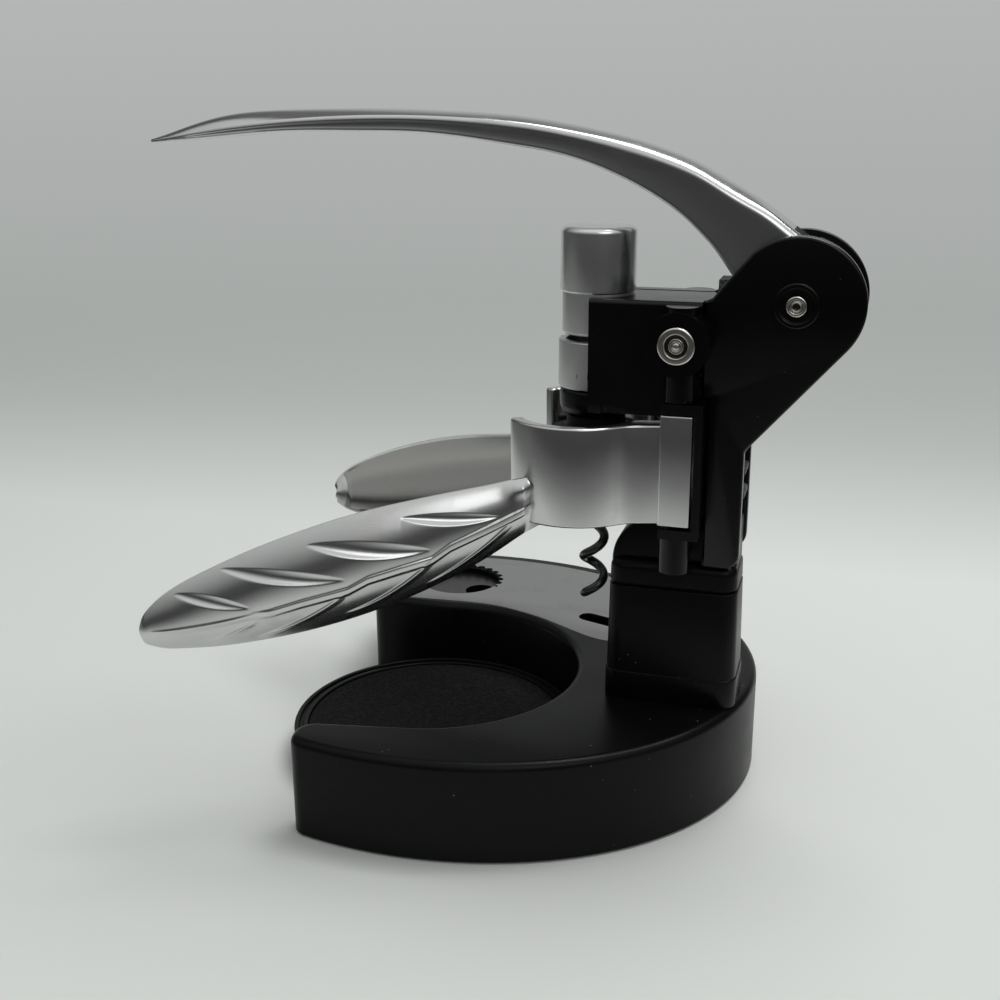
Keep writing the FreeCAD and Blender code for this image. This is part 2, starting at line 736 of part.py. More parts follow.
def inlay_outline(grow, z0, z1):
    """The inlay plate's plan: smooth near edge, oval far edge, as an upright block."""
    near = [(x, y - grow) for x, y in INLAY_EDGE]
    start, stop = math.radians(INLAY_BACK_DEG), math.radians(INLAY_TIP_DEG)
    step = (stop - start) / INLAY_EDGE_STEPS
    inset = INLAY_MARGIN - grow
    far = [ellipse_point(inset, start + step * i) for i in range(INLAY_EDGE_STEPS + 1)]
    first = spline(near, z0)
    second = spline(far, z0)
    joins = [
        Part.makeLine(Vector(near[-1][0], near[-1][1], z0), Vector(far[0][0], far[0][1], z0)),
        Part.makeLine(Vector(far[-1][0], far[-1][1], z0), Vector(near[0][0], near[0][1], z0)),
    ]
    wire = Part.Wire([first, joins[0], second, joins[1]])
    return Part.Face(wire).extrude(Vector(0, 0, z1 - z0))


def inlay_plate():
    """Satin plate with the scalloped hole and the slot."""
    z0 = BASE_HEIGHT - INLAY_THICK + INLAY_PROUD
    z1 = BASE_HEIGHT + INLAY_PROUD
    plate = inlay_outline(0.0, z0, z1)
    plate = plate.cut(rod_z(FOIL_X, FOIL_Y, FOIL_RADIUS, z0, z1))
    scallops = []
    for i in range(FOIL_SCALLOPS):
        angle = 2 * math.pi * i / FOIL_SCALLOPS
        x = FOIL_X + FOIL_RADIUS * math.cos(angle)
        y = FOIL_Y + FOIL_RADIUS * math.sin(angle)
        scallops.append(rod_z(x, y, FOIL_SCALLOP_RADIUS, z0, z1))
    plate = plate.cut(Part.makeCompound(scallops))
    return plate.cut(slot_block(SLOT_WIDTH, z0, z1))


def rounded_plan(x0, x1, half, corner, z):
    """A closed wire: a rectangle with round corners."""
    shape = rounded(box(x0, x1, -half, half, z, z + OVERCUT), corner, is_upright)
    faces = [f for f in shape.Faces if abs(f.CenterOfMass.z - z) < NEAR_ENOUGH]
    return faces[0].OuterWire


def post_block(grow, z0, z1):
    """The post's slightly drafted body between two heights, grown sideways by `grow`."""
    def plan(z):
        share = (POST_TOP - z) / POST_HEIGHT
        out = grow + POST_DRAFT * share - POST_DRAFT / 2
        return rounded_plan(POST_X0 - out, POST_X1 + out, POST_HALF_DEPTH + out, POST_CORNER + out, z)

    return Part.makeLoft([plan(z0), plan(z1)], True, True)


def post_body():
    """Hollow black post with a solid foot."""
    body = post_block(0.0, BASE_HEIGHT, POST_TOP)
    body = body.cut(post_block(-POST_WALL, BASE_HEIGHT + POST_FOOT, POST_TOP))
    for x, y in post_screw_places():
        body = body.cut(post_screw(x, y, SCREW_HOLE_GAP))
    return body


def post_collar():
    """Collar round the post's foot."""
    z0, z1 = BASE_HEIGHT + SEAT_GAP, BASE_HEIGHT + COLLAR_HEIGHT
    ring = post_block(COLLAR_PROUD, z0, z1)
    ring = rounded(ring, COLLAR_ROUND, lambda e: abs(middle(e).z - z1) < NEAR_ENOUGH)
    return ring.cut(post_block(SEAT_GAP, z0 - OVERCUT, z1 + OVERCUT))


def tongue():
    """The upright tongue on the cap that carries the corkscrew, with its round nose."""
    x0, x1 = POST_X0 + TONGUE_FRONT_INSET, POST_X1 - TONGUE_BACK_INSET
    nose_x = x0 + TONGUE_NOSE
    low = SHOULDER_TOP - TONGUE_ROOT
    centre_z = TONGUE_TOP - TONGUE_NOSE
    half = TONGUE_HALF
    nose = rod_y(nose_x, centre_z, TONGUE_NOSE, -half, half)
    nose = nose.cut(box(x0, x1, -half, half, centre_z - 2 * TONGUE_NOSE, low))
    bar = box(nose_x, x1, -half, half, low, TONGUE_TOP)
    front = box(x0, nose_x, -half, half, low, centre_z)
    shape = nose.fuse(bar).fuse(front).removeSplitter()

    def is_top_side(edge):
        m = middle(edge)
        return m.z > centre_z + TONGUE_EDGE / 2 and abs(abs(m.y) - half) < NEAR_ENOUGH

    return rounded(shape, TONGUE_EDGE, is_top_side)


def post_cap():
    """Cap with a plug below, round shoulders and the tongue above."""
    shoulders = post_block(-SHOULDER_INSET, SHOULDER_LOW, SHOULDER_TOP)
    shoulders = rounded(shoulders, SHOULDER_ROUND, lambda e: abs(middle(e).z - SHOULDER_TOP) < NEAR_ENOUGH)
    neck = post_block(-GROOVE_DEPTH, POST_TOP, SHOULDER_LOW)
    plug = post_block(-POST_WALL - LAYER_GAP, POST_TOP - PLUG_DEPTH, POST_TOP)
    return shoulders.fuse(neck).fuse(plug).fuse(tongue()).removeSplitter()


def plate_outline():
    """Side outline of a frame plate without its round disc."""
    rear = math.radians(DISC_REAR_DEG)
    rim_x = HUB_X + DISC_RADIUS * math.cos(rear)
    rim_z = HUB_Z + DISC_RADIUS * math.sin(rear)
    slope = -1 / math.tan(rear)
    knee_z = rim_z - (rim_x - TAIL_REAR) * slope
    front = math.radians(DISC_FRONT_DEG)
    top_x = HUB_X + DISC_RADIUS * math.cos(front)
    top_z = HUB_Z + DISC_RADIUS * math.sin(front)
    heel = BRACKET_TOP + BRACKET_GAP
    return [
        (BRACKET_BACK_X, BLOCK_TOP), (TAIL_FRONT, BLOCK_TOP + THROAT_RISE), (THROAT_X, THROAT_Z),
        (top_x, top_z), (HUB_X, HUB_Z), (rim_x, rim_z), (TAIL_REAR, knee_z),
        (TAIL_REAR, TAIL_BOTTOM), (TAIL_FRONT, TAIL_BOTTOM), (TAIL_FRONT, heel), (BRACKET_BACK_X, heel),
    ]


def near_side_plate():
    """Near frame plate: hub disc, neck and the straight tail that houses the rack."""
    body = prism_y(plate_outline(), -PLATE_OUT, -PLATE_IN)
    disc = rod_y(HUB_X, HUB_Z, DISC_RADIUS, -PLATE_OUT, -PLATE_IN)
    rim = [e for e in disc.Edges if abs(middle(e).y + PLATE_OUT) < NEAR_ENOUGH]
    disc = disc.makeChamfer(DISC_BEVEL, rim)

    def is_tail_corner(edge):
        m = middle(edge)
        return abs(m.x - TAIL_REAR) < NEAR_ENOUGH and abs(m.z - TAIL_BOTTOM) < NEAR_ENOUGH

    body = rounded(body, TAIL_CORNER, is_tail_corner)
    ring = rod_y(HUB_X, HUB_Z, BOSS_RING_RADIUS, -PLATE_OUT - BOSS_RING_PROUD, -PLATE_IN)
    plate = body.fuse(disc).fuse(ring)
    hole = rod_y(HUB_X, HUB_Z, AXLE_RADIUS + SEAT_GAP, -PLATE_OUT - BOSS_RING_PROUD - OVERCUT, 0.0)
    plate = plate.cut(hole)
    for z in dowel_heights():
        end = BLOCK_REAR + DOWEL_HALF + OVERCUT
        plate = plate.cut(rod_x(-dowel_y(), z, DOWEL_RADIUS + RUNNING_GAP, BLOCK_REAR, end))
    return plate.removeSplitter()


def dowel_heights():
    """Heights of the dowels between block and plates."""
    return [DOWEL_LOW_Z, DOWEL_HIGH_Z]


def dowel_y():
    """Sideways place of the dowels, in the middle of a plate's thickness."""
    return (PLATE_IN + PLATE_OUT) / 2


def both_sides():
    """Both sides of the mid-plane: -1 near, +1 far."""
    return [-1, 1]


def block_dowels():
    """Four dowels that join the front block to the two side plates."""
    pins = []
    for side in both_sides():
        for z in dowel_heights():
            start, end = BLOCK_REAR - DOWEL_HALF, BLOCK_REAR + DOWEL_HALF
            pins.append(rod_x(side * dowel_y(), z, DOWEL_RADIUS, start, end))
    return Part.makeCompound(pins)


def block_core():
    """The block's two cheeks and its deck, with the room for the worm's stack."""
    block = box(BLOCK_FRONT, BLOCK_REAR, -BLOCK_HALF, BLOCK_HALF, BLOCK_BOTTOM, BLOCK_TOP)

    def is_top_side_edge(edge):
        m = middle(edge)
        return abs(m.z - BLOCK_TOP) < NEAR_ENOUGH and abs(abs(m.y) - BLOCK_HALF) < NEAR_ENOUGH

    block = rounded(block, BLOCK_EDGE, is_top_side_edge)
    low, past = BLOCK_BOTTOM - OVERCUT, BLOCK_REAR + OVERCUT
    outside = -BLOCK_HALF - OVERCUT
    ledge = box(
        BLOCK_FRONT + LEDGE_FRONT, past, outside, -BLOCK_HALF + LEDGE_DEPTH,
        low, BLOCK_BOTTOM + LEDGE_HEIGHT)
    notch = box(
        BRACKET_ARM_FRONT - BRACKET_GAP, past, outside, BRACKET_INNER + BRACKET_GAP,
        low, BRACKET_TOP + BRACKET_GAP)
    block = block.cut(ledge).cut(mirrored(ledge)).cut(notch).cut(mirrored(notch))
    deck, top = BLOCK_BOTTOM + BLOCK_DECK, BLOCK_TOP + OVERCUT
    block = block.cut(box(BLOCK_FRONT - OVERCUT, past, -PLATE_IN, PLATE_IN, deck, top))
    block = block.cut(rod_z(WORM_X, 0.0, RELIEF_RADIUS, deck, top))
    return block.cut(rod_z(WORM_X, 0.0, BULB_RADIUS + DECK_FIT, low, deck))


def rod_y_between(x, z, radius, first, second):
    """A cylinder along Y between two places, given in either order."""
    return rod_y(x, z, radius, min(first, second), max(first, second))


def front_block():
    """Front block: cheeks and deck, side bosses and the clamp pins' columns."""
    extras = []
    for side in both_sides():
        column_top = BLOCK_TOP - BLOCK_EDGE / 2
        extras.append(rod_z(PIN_X, side * PIN_Y, PIN_BOSS_RADIUS, COLUMN_BOTTOM, column_top))
        face, root = side * SIDE_BOSS_FACE, side * (PLATE_OUT + BRACKET_GAP)
        extras.append(rod_y_between(SIDE_BOSS_X, SIDE_BOSS_Z, SIDE_BOSS_RADIUS, face, root))
    block = block_core().multiFuse(extras)
    for side in both_sides():
        hole_top = COLUMN_BOTTOM + PIN_GRIP + PIN_TIP_GAP
        hole = rod_z(PIN_X, side * PIN_Y, PIN_RADIUS + RUNNING_GAP, COLUMN_BOTTOM - OVERCUT, hole_top)
        face, floor = side * (SIDE_BOSS_FACE + OVERCUT), side * (SIDE_BOSS_FACE - SIDE_RIVET_DEPTH)
        socket = rod_y_between(SIDE_BOSS_X, SIDE_BOSS_Z, SIDE_RIVET_SHANK + RUNNING_GAP, face, floor)
        block = block.cut(hole).cut(socket)
        for z in dowel_heights():
            end = BLOCK_REAR - DOWEL_HALF - SCREW_TIP_GAP
            dowel = rod_x(side * dowel_y(), z, DOWEL_RADIUS + RUNNING_GAP, end, BLOCK_REAR + OVERCUT)
            block = block.cut(dowel)
    return block.removeSplitter()


def side_rivets():
    """The two round-headed rivets in the side bosses."""
    face = -SIDE_BOSS_FACE
    top = face - SIDE_RIVET_PROUD
    head = rod_y(SIDE_BOSS_X, SIDE_BOSS_Z, SIDE_RIVET_RADIUS, top, face)
    head = rounded(head, SIDE_RIVET_EDGE, lambda e: abs(middle(e).y - top) < NEAR_ENOUGH)
    shank_end = face + SIDE_RIVET_DEPTH - LAYER_GAP
    shank = rod_y(SIDE_BOSS_X, SIDE_BOSS_Z, SIDE_RIVET_SHANK, face, shank_end)
    near = head.fuse(shank).removeSplitter()
    return Part.makeCompound([near, mirrored(near)])


def hub_axle():
    """Rivet axle through both plates, the lever's fork and the pinion."""
    half = PLATE_OUT + BOSS_RING_PROUD + AXLE_HEAD_PROUD
    axle = rod_y(HUB_X, HUB_Z, AXLE_RADIUS, -half, half)
    ends = [e for e in axle.Edges if abs(abs(middle(e).y) - half) < NEAR_ENOUGH]
    return axle.makeChamfer(AXLE_HEAD_CHAMFER, ends)


def hub_washers():
    """Thin washers between the fork and the plates."""
    low, high = FORK_OUT + WASHER_SIDE_GAP, PLATE_IN - WASHER_SIDE_GAP
    washer = rod_y(HUB_X, HUB_Z, HUB_WASHER_RADIUS, -high, -low)
    washer = washer.cut(rod_y(HUB_X, HUB_Z, AXLE_RADIUS + LAYER_GAP, -high, -low))
    return Part.makeCompound([washer, mirrored(washer)])


def near_clamp_bracket():
    """C-shaped bracket that holds the near clamp handle's pin."""
    front, back_x, out, inner = BRACKET_ARM_FRONT, BRACKET_BACK_X, -BRACKET_OUT, BRACKET_INNER
    back = box(back_x, TAIL_FRONT - BRACKET_GAP, out, -PLATE_IN, BRACKET_LOW, BRACKET_TOP)
    upper = box(front, back_x, out, inner, BRACKET_TOP - BRACKET_ARM, BRACKET_TOP)
    lower = box(front, back_x, out, inner, BRACKET_LOW, BRACKET_LOW + BRACKET_ARM)
    boss = rod_z(PIN_X, -PIN_Y, PIN_BOSS_RADIUS, PIN_BOSS_LOW, BRACKET_LOW)
    hole = rod_z(PIN_X, -PIN_Y, PIN_RADIUS + RUNNING_GAP, PIN_BOSS_LOW - OVERCUT, BRACKET_TOP + OVERCUT)
    return back.multiFuse([upper, lower, boss]).cut(hole).removeSplitter()


def clamp_pins():
    """The two upright pins that the clamp handles turn on."""
    low, high = PIN_BOSS_LOW + PIN_TIP_GAP, COLUMN_BOTTOM + PIN_GRIP
    return Part.makeCompound([rod_z(PIN_X, side * PIN_Y, PIN_RADIUS, low, high) for side in both_sides()])


def rack_guide():
    """Wear strip in front of the rack, between the plates."""
    half = PLATE_IN - LAYER_GAP
    front = RACK_GUIDE_FRONT
    return box(front, front + RACK_GUIDE_THICK, -half, half, RACK_GUIDE_BOTTOM, RACK_GUIDE_TOP)


def set_screw_tool(grow, inner, outer):
    """A rod square to the guide ring's skin, between two distances from the worm's axis."""
    angle = math.radians(SET_SCREW_DEG)
    direction = Vector(math.cos(angle), math.sin(angle), 0)
    start = Vector(WORM_X, 0, RING_BOTTOM + SET_SCREW_HEIGHT) + direction * inner
    return Part.makeCylinder(SET_SCREW_RADIUS + grow, outer - inner, start, direction)


def set_screw():
    """Set screw of the guide ring."""
    return set_screw_tool(0.0, RING_BORE + SET_SCREW_INNER, RING_RADIUS - SET_SCREW_SINK)


def guide_ring():
    """Satin ring with an open cup at its top; the worm runs through its bore."""
    ring = turned([
        (RING_BORE, RING_BOTTOM), (RING_RADIUS, RING_BOTTOM), (RING_RADIUS, RING_TOP - RING_EDGE),
        (RING_RADIUS - RING_EDGE, RING_TOP), (RING_CUP_RADIUS, RING_TOP),
        (RING_CUP_RADIUS, RING_TOP - RING_CUP_DEPTH), (RING_BORE, RING_TOP - RING_CUP_DEPTH),
    ], WORM_X)
    inner = RING_BORE + SET_SCREW_INNER - RUNNING_GAP
    return ring.cut(set_screw_tool(RUNNING_GAP, inner, RING_RADIUS + OVERCUT))


def neck_bulb():
    """Black rounded bush under the guide ring, seated in the block's deck."""
    low = BULB_BOTTOM
    return turned([
        (RING_BORE, low), (BULB_FOOT, low), (BULB_KNEE, low + BULB_KNEE_HEIGHT),
        (BULB_RADIUS, low + BULB_SHOULDER_HEIGHT), (BULB_RADIUS, BULB_TOP), (RING_BORE, BULB_TOP),
    ], WORM_X)


def neck_stop():
    """Soft flared stop that the bottle's lip meets."""
    foot = STOP_BOTTOM + STOP_FOOT_HEIGHT
    flare = foot + STOP_FLARE_HEIGHT
    return turned([
        (RING_BORE, STOP_BOTTOM), (STOP_FOOT_RADIUS, STOP_BOTTOM), (STOP_FOOT_RADIUS, foot),
        (STOP_FOOT_RADIUS - STOP_FLARE, flare), (STOP_RADIUS, flare + STOP_FLARE_HEIGHT),
        (STOP_RADIUS, STOP_TOP), (RING_BORE, STOP_TOP),
    ], WORM_X)


def involute_point(base, roll, side, centre):
    """Point of an involute flank: `roll` off the base circle, tooth centred at `centre`."""
    radius = base * math.sqrt(1 + roll * roll)
    pressure = math.radians(PRESSURE_DEG)
    thick = math.pi * MODULE / 2 + 2 * PROFILE_SHIFT * MODULE * math.tan(pressure) - BACKLASH
    half = thick / (2 * PITCH_RADIUS) + math.tan(pressure) - pressure
    turn = centre + side * (half - (roll - math.atan(roll)))
    return radius, turn


def pinion():
    """Pinion between the lever's fork cheeks."""
    base = PITCH_RADIUS * math.cos(math.radians(PRESSURE_DEG))
    tip = PITCH_RADIUS + PINION_TIP
    root = PITCH_RADIUS - PINION_ROOT
    roll_step = math.sqrt((tip / base) ** 2 - 1) / FLANK_STEPS
    points = []
    for tooth in range(PINION_TEETH):
        centre = 2 * math.pi * (tooth + 0.5) / PINION_TEETH
        rising = [involute_point(base, roll_step * i, -1, centre) for i in range(FLANK_STEPS + 1)]
        falling = [involute_point(base, roll_step * i, 1, centre) for i in range(FLANK_STEPS, -1, -1)]
        points += [(root, rising[0][1])] + rising + falling + [(root, falling[-1][1])]
    outline = [(HUB_X + r * math.cos(a), HUB_Z + r * math.sin(a)) for r, a in points]
    wheel = prism_y(outline, -PINION_HALF, PINION_HALF)
    wheel = wheel.cut(rod_y(HUB_X, HUB_Z, AXLE_RADIUS + RUNNING_GAP, -PINION_HALF, PINION_HALF))
    for x, z in pinion_dowel_places():
        wheel = wheel.cut(rod_y(x, z, DOWEL_RADIUS + RUNNING_GAP, -PINION_HALF, PINION_HALF))
    return wheel


def pinion_dowel_places():
    """Centres of the dowels that fix the pinion in the fork."""
    places = []
    for i in range(PINION_DOWELS):
        angle = math.radians(DOWEL_START_DEG) + 2 * math.pi * i / PINION_DOWELS
        places.append((HUB_X + DOWEL_CIRCLE * math.cos(angle), HUB_Z + DOWEL_CIRCLE * math.sin(angle)))
    return places


def pinion_dowels():
    """Dowels through fork and pinion."""
    half = FORK_OUT - PINION_DOWEL_GAP
    return Part.makeCompound([rod_y(x, z, DOWEL_RADIUS, -half, half) for x, z in pinion_dowel_places()])


def lever_section(x, crest, side, under, half):
    """One upright cross-section of the lever's arm: flat sides and underside, domed top."""
    low_near, low_far = Vector(x, -half, under), Vector(x, half, under)
    near, far = Vector(x, -half, side), Vector(x, half, side)
    dome = Part.Arc(far, Vector(x, 0, crest), near).toShape()
    return Part.Wire([
        Part.makeLine(low_near, low_far), Part.makeLine(low_far, far), dome, Part.makeLine(near, low_near),
    ])


def lever_fork():
    """The lever's root: two cheeks round the pinion and the web that joins them above it."""
    out, reach = FORK_OUT, 2 * FORK_RADIUS
    drum = rod_y(HUB_X, HUB_Z, FORK_RADIUS, -out, out)
    gap = box(HUB_X - reach, HUB_X + reach, -FORK_IN, FORK_IN, HUB_Z - reach, HUB_Z + 2 * reach)
    cheeks = prism_y(LEVER_ROOT, -out, out).fuse(drum).cut(gap)
    web = prism_y(LEVER_ROOT, -FORK_IN - NEAR_ENOUGH, FORK_IN + NEAR_ENOUGH)
    web = web.cut(rod_y(HUB_X, HUB_Z, PITCH_RADIUS + PINION_TIP + PINION_CLEAR, -out, out))
    web = web.cut(box(HUB_X - reach, RACK_PASS_X, -out, out, HUB_Z - reach, RACK_PASS_Z))
    web = web.cut(box(WEB_BACK_X, HUB_X + reach, -out, out, HUB_Z - reach, HUB_Z + reach))
    return cheeks, web


def lever():
    """Die-cast lever: tapering arm, root and the fork round the pinion."""
    arm = Part.makeLoft([lever_section(*row) for row in LEVER_SECTIONS], True, False)
    whole = arm.multiFuse(list(lever_fork()))
    whole = whole.cut(rod_y(HUB_X, HUB_Z, AXLE_RADIUS + RUNNING_GAP, -FORK_OUT, FORK_OUT))
    for x, z in pinion_dowel_places():
        whole = whole.cut(rod_y(x, z, DOWEL_RADIUS + RUNNING_GAP, -FORK_OUT, FORK_OUT))
    return whole.removeSplitter()


def rack_outline():
    """Side outline of the rack: flat front, trapezoid teeth facing the pinion."""
    pitch_x = HUB_X - PITCH_RADIUS
    pressure = math.tan(math.radians(PRESSURE_DEG))
    step = math.pi * MODULE
    half = step / 4 - PROFILE_SHIFT * MODULE * pressure - BACKLASH / 2
    tip_x, root_x = pitch_x + RACK_TIP_REACH, pitch_x - RACK_ROOT_DEPTH
    half_tip = half - RACK_TIP_REACH * pressure
    half_root = half + RACK_ROOT_DEPTH * pressure
    outline = [(RACK_FRONT, RACK_BOTTOM), (root_x, RACK_BOTTOM)]
    count = int((HUB_Z - RACK_BOTTOM - half_root) / step)
    for tooth in range(count, -1, -1):
        centre = HUB_Z - tooth * step
        outline += [(root_x, centre - half_root), (tip_x, centre - half_tip)]
        outline += [(tip_x, centre + half_tip), (root_x, centre + half_root)]
    return outline + [(root_x, RACK_TOP), (RACK_FRONT, RACK_TOP)]


def rack():
    """Toothed rack between the side plates."""
    bar = prism_y(rack_outline(), -RACK_HALF, RACK_HALF)
    end = RACK_FRONT + CARRIER_SCREW_BITE + LAYER_GAP
    for z in carrier_screw_heights():
        bar = bar.cut(rod_x(0.0, z, CARRIER_SCREW_RADIUS + RUNNING_GAP, RACK_FRONT - OVERCUT, end))
    return bar


def carrier_screw_heights():
    """Heights of the two screws between carrier arm and rack."""
    return [CARRIER_SCREW_LOW_Z, CARRIER_SCREW_HIGH_Z]


def carrier_screws():
    """Two screws from the carrier arm into the rack."""
    low, high = CARRIER_STEP_X - CARRIER_SCREW_BACK, RACK_FRONT + CARRIER_SCREW_BITE
    radius = CARRIER_SCREW_RADIUS
    return Part.makeCompound([rod_x(0.0, z, radius, low, high) for z in carrier_screw_heights()])


def carrier_arm():
    """Cross arm that joins the rack to the sleeve."""
    low, top = CARRIER_BOTTOM, CARRIER_TOP
    wide = box(WORM_X, CARRIER_STEP_X, -CARRIER_HALF, CARRIER_HALF, low, top)
    narrow = box(CARRIER_STEP_X, RACK_FRONT - SEAT_GAP, -RACK_HALF, RACK_HALF, low, top)
    arm = wide.fuse(narrow).cut(rod_z(WORM_X, 0.0, SLEEVE_RADIUS + SEAT_GAP, low, top))
    start = CARRIER_STEP_X - CARRIER_SCREW_BACK - SCREW_TIP_GAP
    for z in carrier_screw_heights():
        arm = arm.cut(rod_x(0.0, z, CARRIER_SCREW_RADIUS + RUNNING_GAP, start, RACK_FRONT))
    return arm.removeSplitter()


def sleeve():
    """Satin sleeve that carries the worm's bearing."""
    low, foot = SLEEVE_BOTTOM, SLEEVE_FOOT_ROUND
    edge = foot * (1 - math.sqrt(0.5))
    return turned([
        (SLEEVE_BORE, low), (SLEEVE_RADIUS - foot, low), (SLEEVE_RADIUS - edge, low + edge),
        (SLEEVE_RADIUS, low + foot), (SLEEVE_RADIUS, SLEEVE_TOP), (SPIGOT_RADIUS, SLEEVE_TOP),
        (SPIGOT_RADIUS, SPIGOT_TOP), (SLEEVE_BORE, SPIGOT_TOP),
    ], WORM_X)


def swivel_bush():
    """Bearing bush between sleeve and worm shank."""
    outer, inner = SLEEVE_BORE - SEAT_GAP, SHANK_RADIUS + RUNNING_GAP
    low, top = SLEEVE_BOTTOM + BUSH_BOTTOM_GAP, SPIGOT_TOP - LAYER_GAP
    return rod_z(WORM_X, 0.0, outer, low, top).cut(rod_z(WORM_X, 0.0, inner, low, top))


def thrust_washers():
    """Washers under and over the worm's head."""
    rings = []
    for z in (LOW_WASHER_Z, HIGH_WASHER_Z):
        disc = rod_z(WORM_X, 0.0, WASHER_RADIUS, z, z + WASHER_THICK)
        rings.append(disc.cut(rod_z(WORM_X, 0.0, SHANK_RADIUS + WASHER_BORE_GAP, z, z + WASHER_THICK)))
    return Part.makeCompound(rings)


def cap():
    """Polished cap over the worm's bearing."""
    body = rod_z(WORM_X, 0.0, CAP_RADIUS, CAP_BOTTOM, CAP_TOP)
    body = rounded(body, CAP_ROUND, lambda e: abs(middle(e).z - CAP_TOP) < NEAR_ENOUGH)
    return body.cut(rod_z(WORM_X, 0.0, SPIGOT_RADIUS + SEAT_GAP, CAP_BOTTOM, CAP_HOLLOW_TOP))


def worm():
    """Right-handed open helix with a shank and a head that turns in the sleeve."""
    path = Part.makeHelix(WORM_PITCH, WORM_ROOT - WORM_TIP, WORM_RADIUS)
    slope = math.atan2(WORM_PITCH, 2 * math.pi * WORM_RADIUS)
    tangent = Vector(0, math.cos(slope), math.sin(slope))
    start = Vector(WORM_RADIUS, 0, 0)
    ring = Part.Wire(Part.makeCircle(WIRE_RADIUS, start, tangent))
    wire = Part.Wire(path.Edges).makePipeShell([ring], True, True)
    coil = wire.fuse(Part.makeCone(WIRE_RADIUS, WORM_POINT_RADIUS, WORM_POINT, start, tangent * -1))
    coil.rotate(Vector(0, 0, 0), Vector(0, 0, 1), WORM_START_DEG)
    coil.translate(Vector(WORM_X, 0, WORM_TIP))
    shank = rod_z(WORM_X, 0.0, SHANK_RADIUS, WORM_ROOT - WORM_SHANK_LAP, SWIVEL_HEAD_BOTTOM)
    head = rod_z(WORM_X, 0.0, SWIVEL_HEAD_RADIUS, SWIVEL_HEAD_BOTTOM, SWIVEL_HEAD_TOP)
    return coil.multiFuse([shank, head]).removeSplitter()


def arc_band(inner, outer, z0, z1, start_deg, end_deg):
    """Part of an upright ring about the worm's axis."""
    corners = [
        Vector(inner, 0, z0), Vector(outer, 0, z0), Vector(outer, 0, z1), Vector(inner, 0, z1),
    ]
    face = Part.Face(Part.makePolygon(corners + corners[:1]))
    face.rotate(Vector(0, 0, 0), Vector(0, 0, 1), start_deg)
    band = face.revolve(Vector(0, 0, 0), Vector(0, 0, 1), end_deg - start_deg)
    band.translate(Vector(WORM_X, 0, 0))
    return band


def opened(shape):
    """Turns a near handle's piece from its closed place to the shown open place."""
    shape.rotate(Vector(PIN_X, -PIN_Y, 0), Vector(0, 0, 1), OPEN_DEG)
    return shape


def grip_section(run, top, low):
    """One cross-section of the leaf grip: a shallow dish, open toward the mid-plane."""
    length = math.hypot(GRIP_ROOT_X - GRIP_TIP_X, GRIP_TIP_Y - GRIP_ROOT_Y)
    ux = (GRIP_ROOT_X - GRIP_TIP_X) / length
    uy = (GRIP_TIP_Y - GRIP_ROOT_Y) / length
    outward = Vector(uy, -ux, 0)
    foot = Vector(GRIP_TIP_X + ux * run, -GRIP_TIP_Y + uy * run, 0)
    height = top - low
    rim = min(GRIP_THICK * GRIP_THICK_SHARE, height * GRIP_RIM_SHARE)
    thick = min(GRIP_THICK, height * GRIP_THICK_SHARE)
    depth = GRIP_DISH * height
    upper, lower = foot + Vector(0, 0, top), foot + Vector(0, 0, low)
    upper_in, lower_in = upper - outward * rim, lower - outward * rim
    mid = foot + Vector(0, 0, (top + low) / 2)
    outer = Part.Arc(lower, mid + outward * depth, upper).toShape()
    inner = Part.Arc(upper_in, mid + outward * (depth - thick), lower_in).toShape()
    return Part.Wire([outer, Part.makeLine(upper, upper_in), inner, Part.makeLine(lower_in, lower)])


def jaw_web():
    """Plan of the solid part between the jaw's band and its knuckle."""
    outer = NECK_RADIUS + LINER_THICK + JAW_THICK
    tail = math.radians(JAW_TAIL_DEG)
    bend = math.radians((JAW_TAIL_DEG - JAW_LEAD_DEG) / 4)
    tail_x, tail_y = WORM_X + outer * math.cos(tail), outer * math.sin(tail)
    return [
        (WORM_X + outer * math.cos(tail - bend), outer * math.sin(tail - bend)),
        (PIN_X, -PIN_Y - KNUCKLE_RADIUS),
        (PIN_X, -PIN_Y + KNUCKLE_RADIUS - LAYER_GAP),
        (tail_x + JAW_THICK / 4, tail_y + JAW_THICK),
        (tail_x - JAW_THICK / 2, tail_y + JAW_THICK),
    ]


def near_clamp_handle():
    """Near clamp handle: jaw band, knuckle and leaf-shaped grip in one casting."""
    inner = NECK_RADIUS + LINER_THICK
    outer = inner + JAW_THICK
    band = arc_band(inner, outer, JAW_BOTTOM, JAW_TOP, JAW_LEAD_DEG, JAW_TAIL_DEG)
    web = prism_z(jaw_web(), JAW_BOTTOM, JAW_TOP)
    web = web.cut(rod_z(WORM_X, 0.0, inner, JAW_BOTTOM, JAW_TOP))
    knuckle = rod_z(PIN_X, -PIN_Y, KNUCKLE_RADIUS, JAW_BOTTOM, KNUCKLE_TOP)
    jaw = opened(band.multiFuse([web, knuckle]).removeSplitter())
    grip = Part.makeLoft([grip_section(*row) for row in GRIP_SECTIONS], True, False)
    bore = rod_z(PIN_X, -PIN_Y, PIN_RADIUS + RUNNING_GAP, JAW_BOTTOM, KNUCKLE_TOP)
    return jaw.fuse(grip).cut(bore).removeSplitter()


def near_jaw_liner():
    """Soft liner inside the near jaw."""
    inner, outer = NECK_RADIUS, NECK_RADIUS + LINER_THICK - SEAT_GAP
    low, top = JAW_BOTTOM + LINER_BOTTOM_GAP, JAW_TOP - LINER_TOP_GAP
    start, end = JAW_LEAD_DEG + LINER_TRIM_DEG, JAW_TAIL_DEG - LINER_TRIM_DEG
    return opened(arc_band(inner, outer, low, top, start, end))


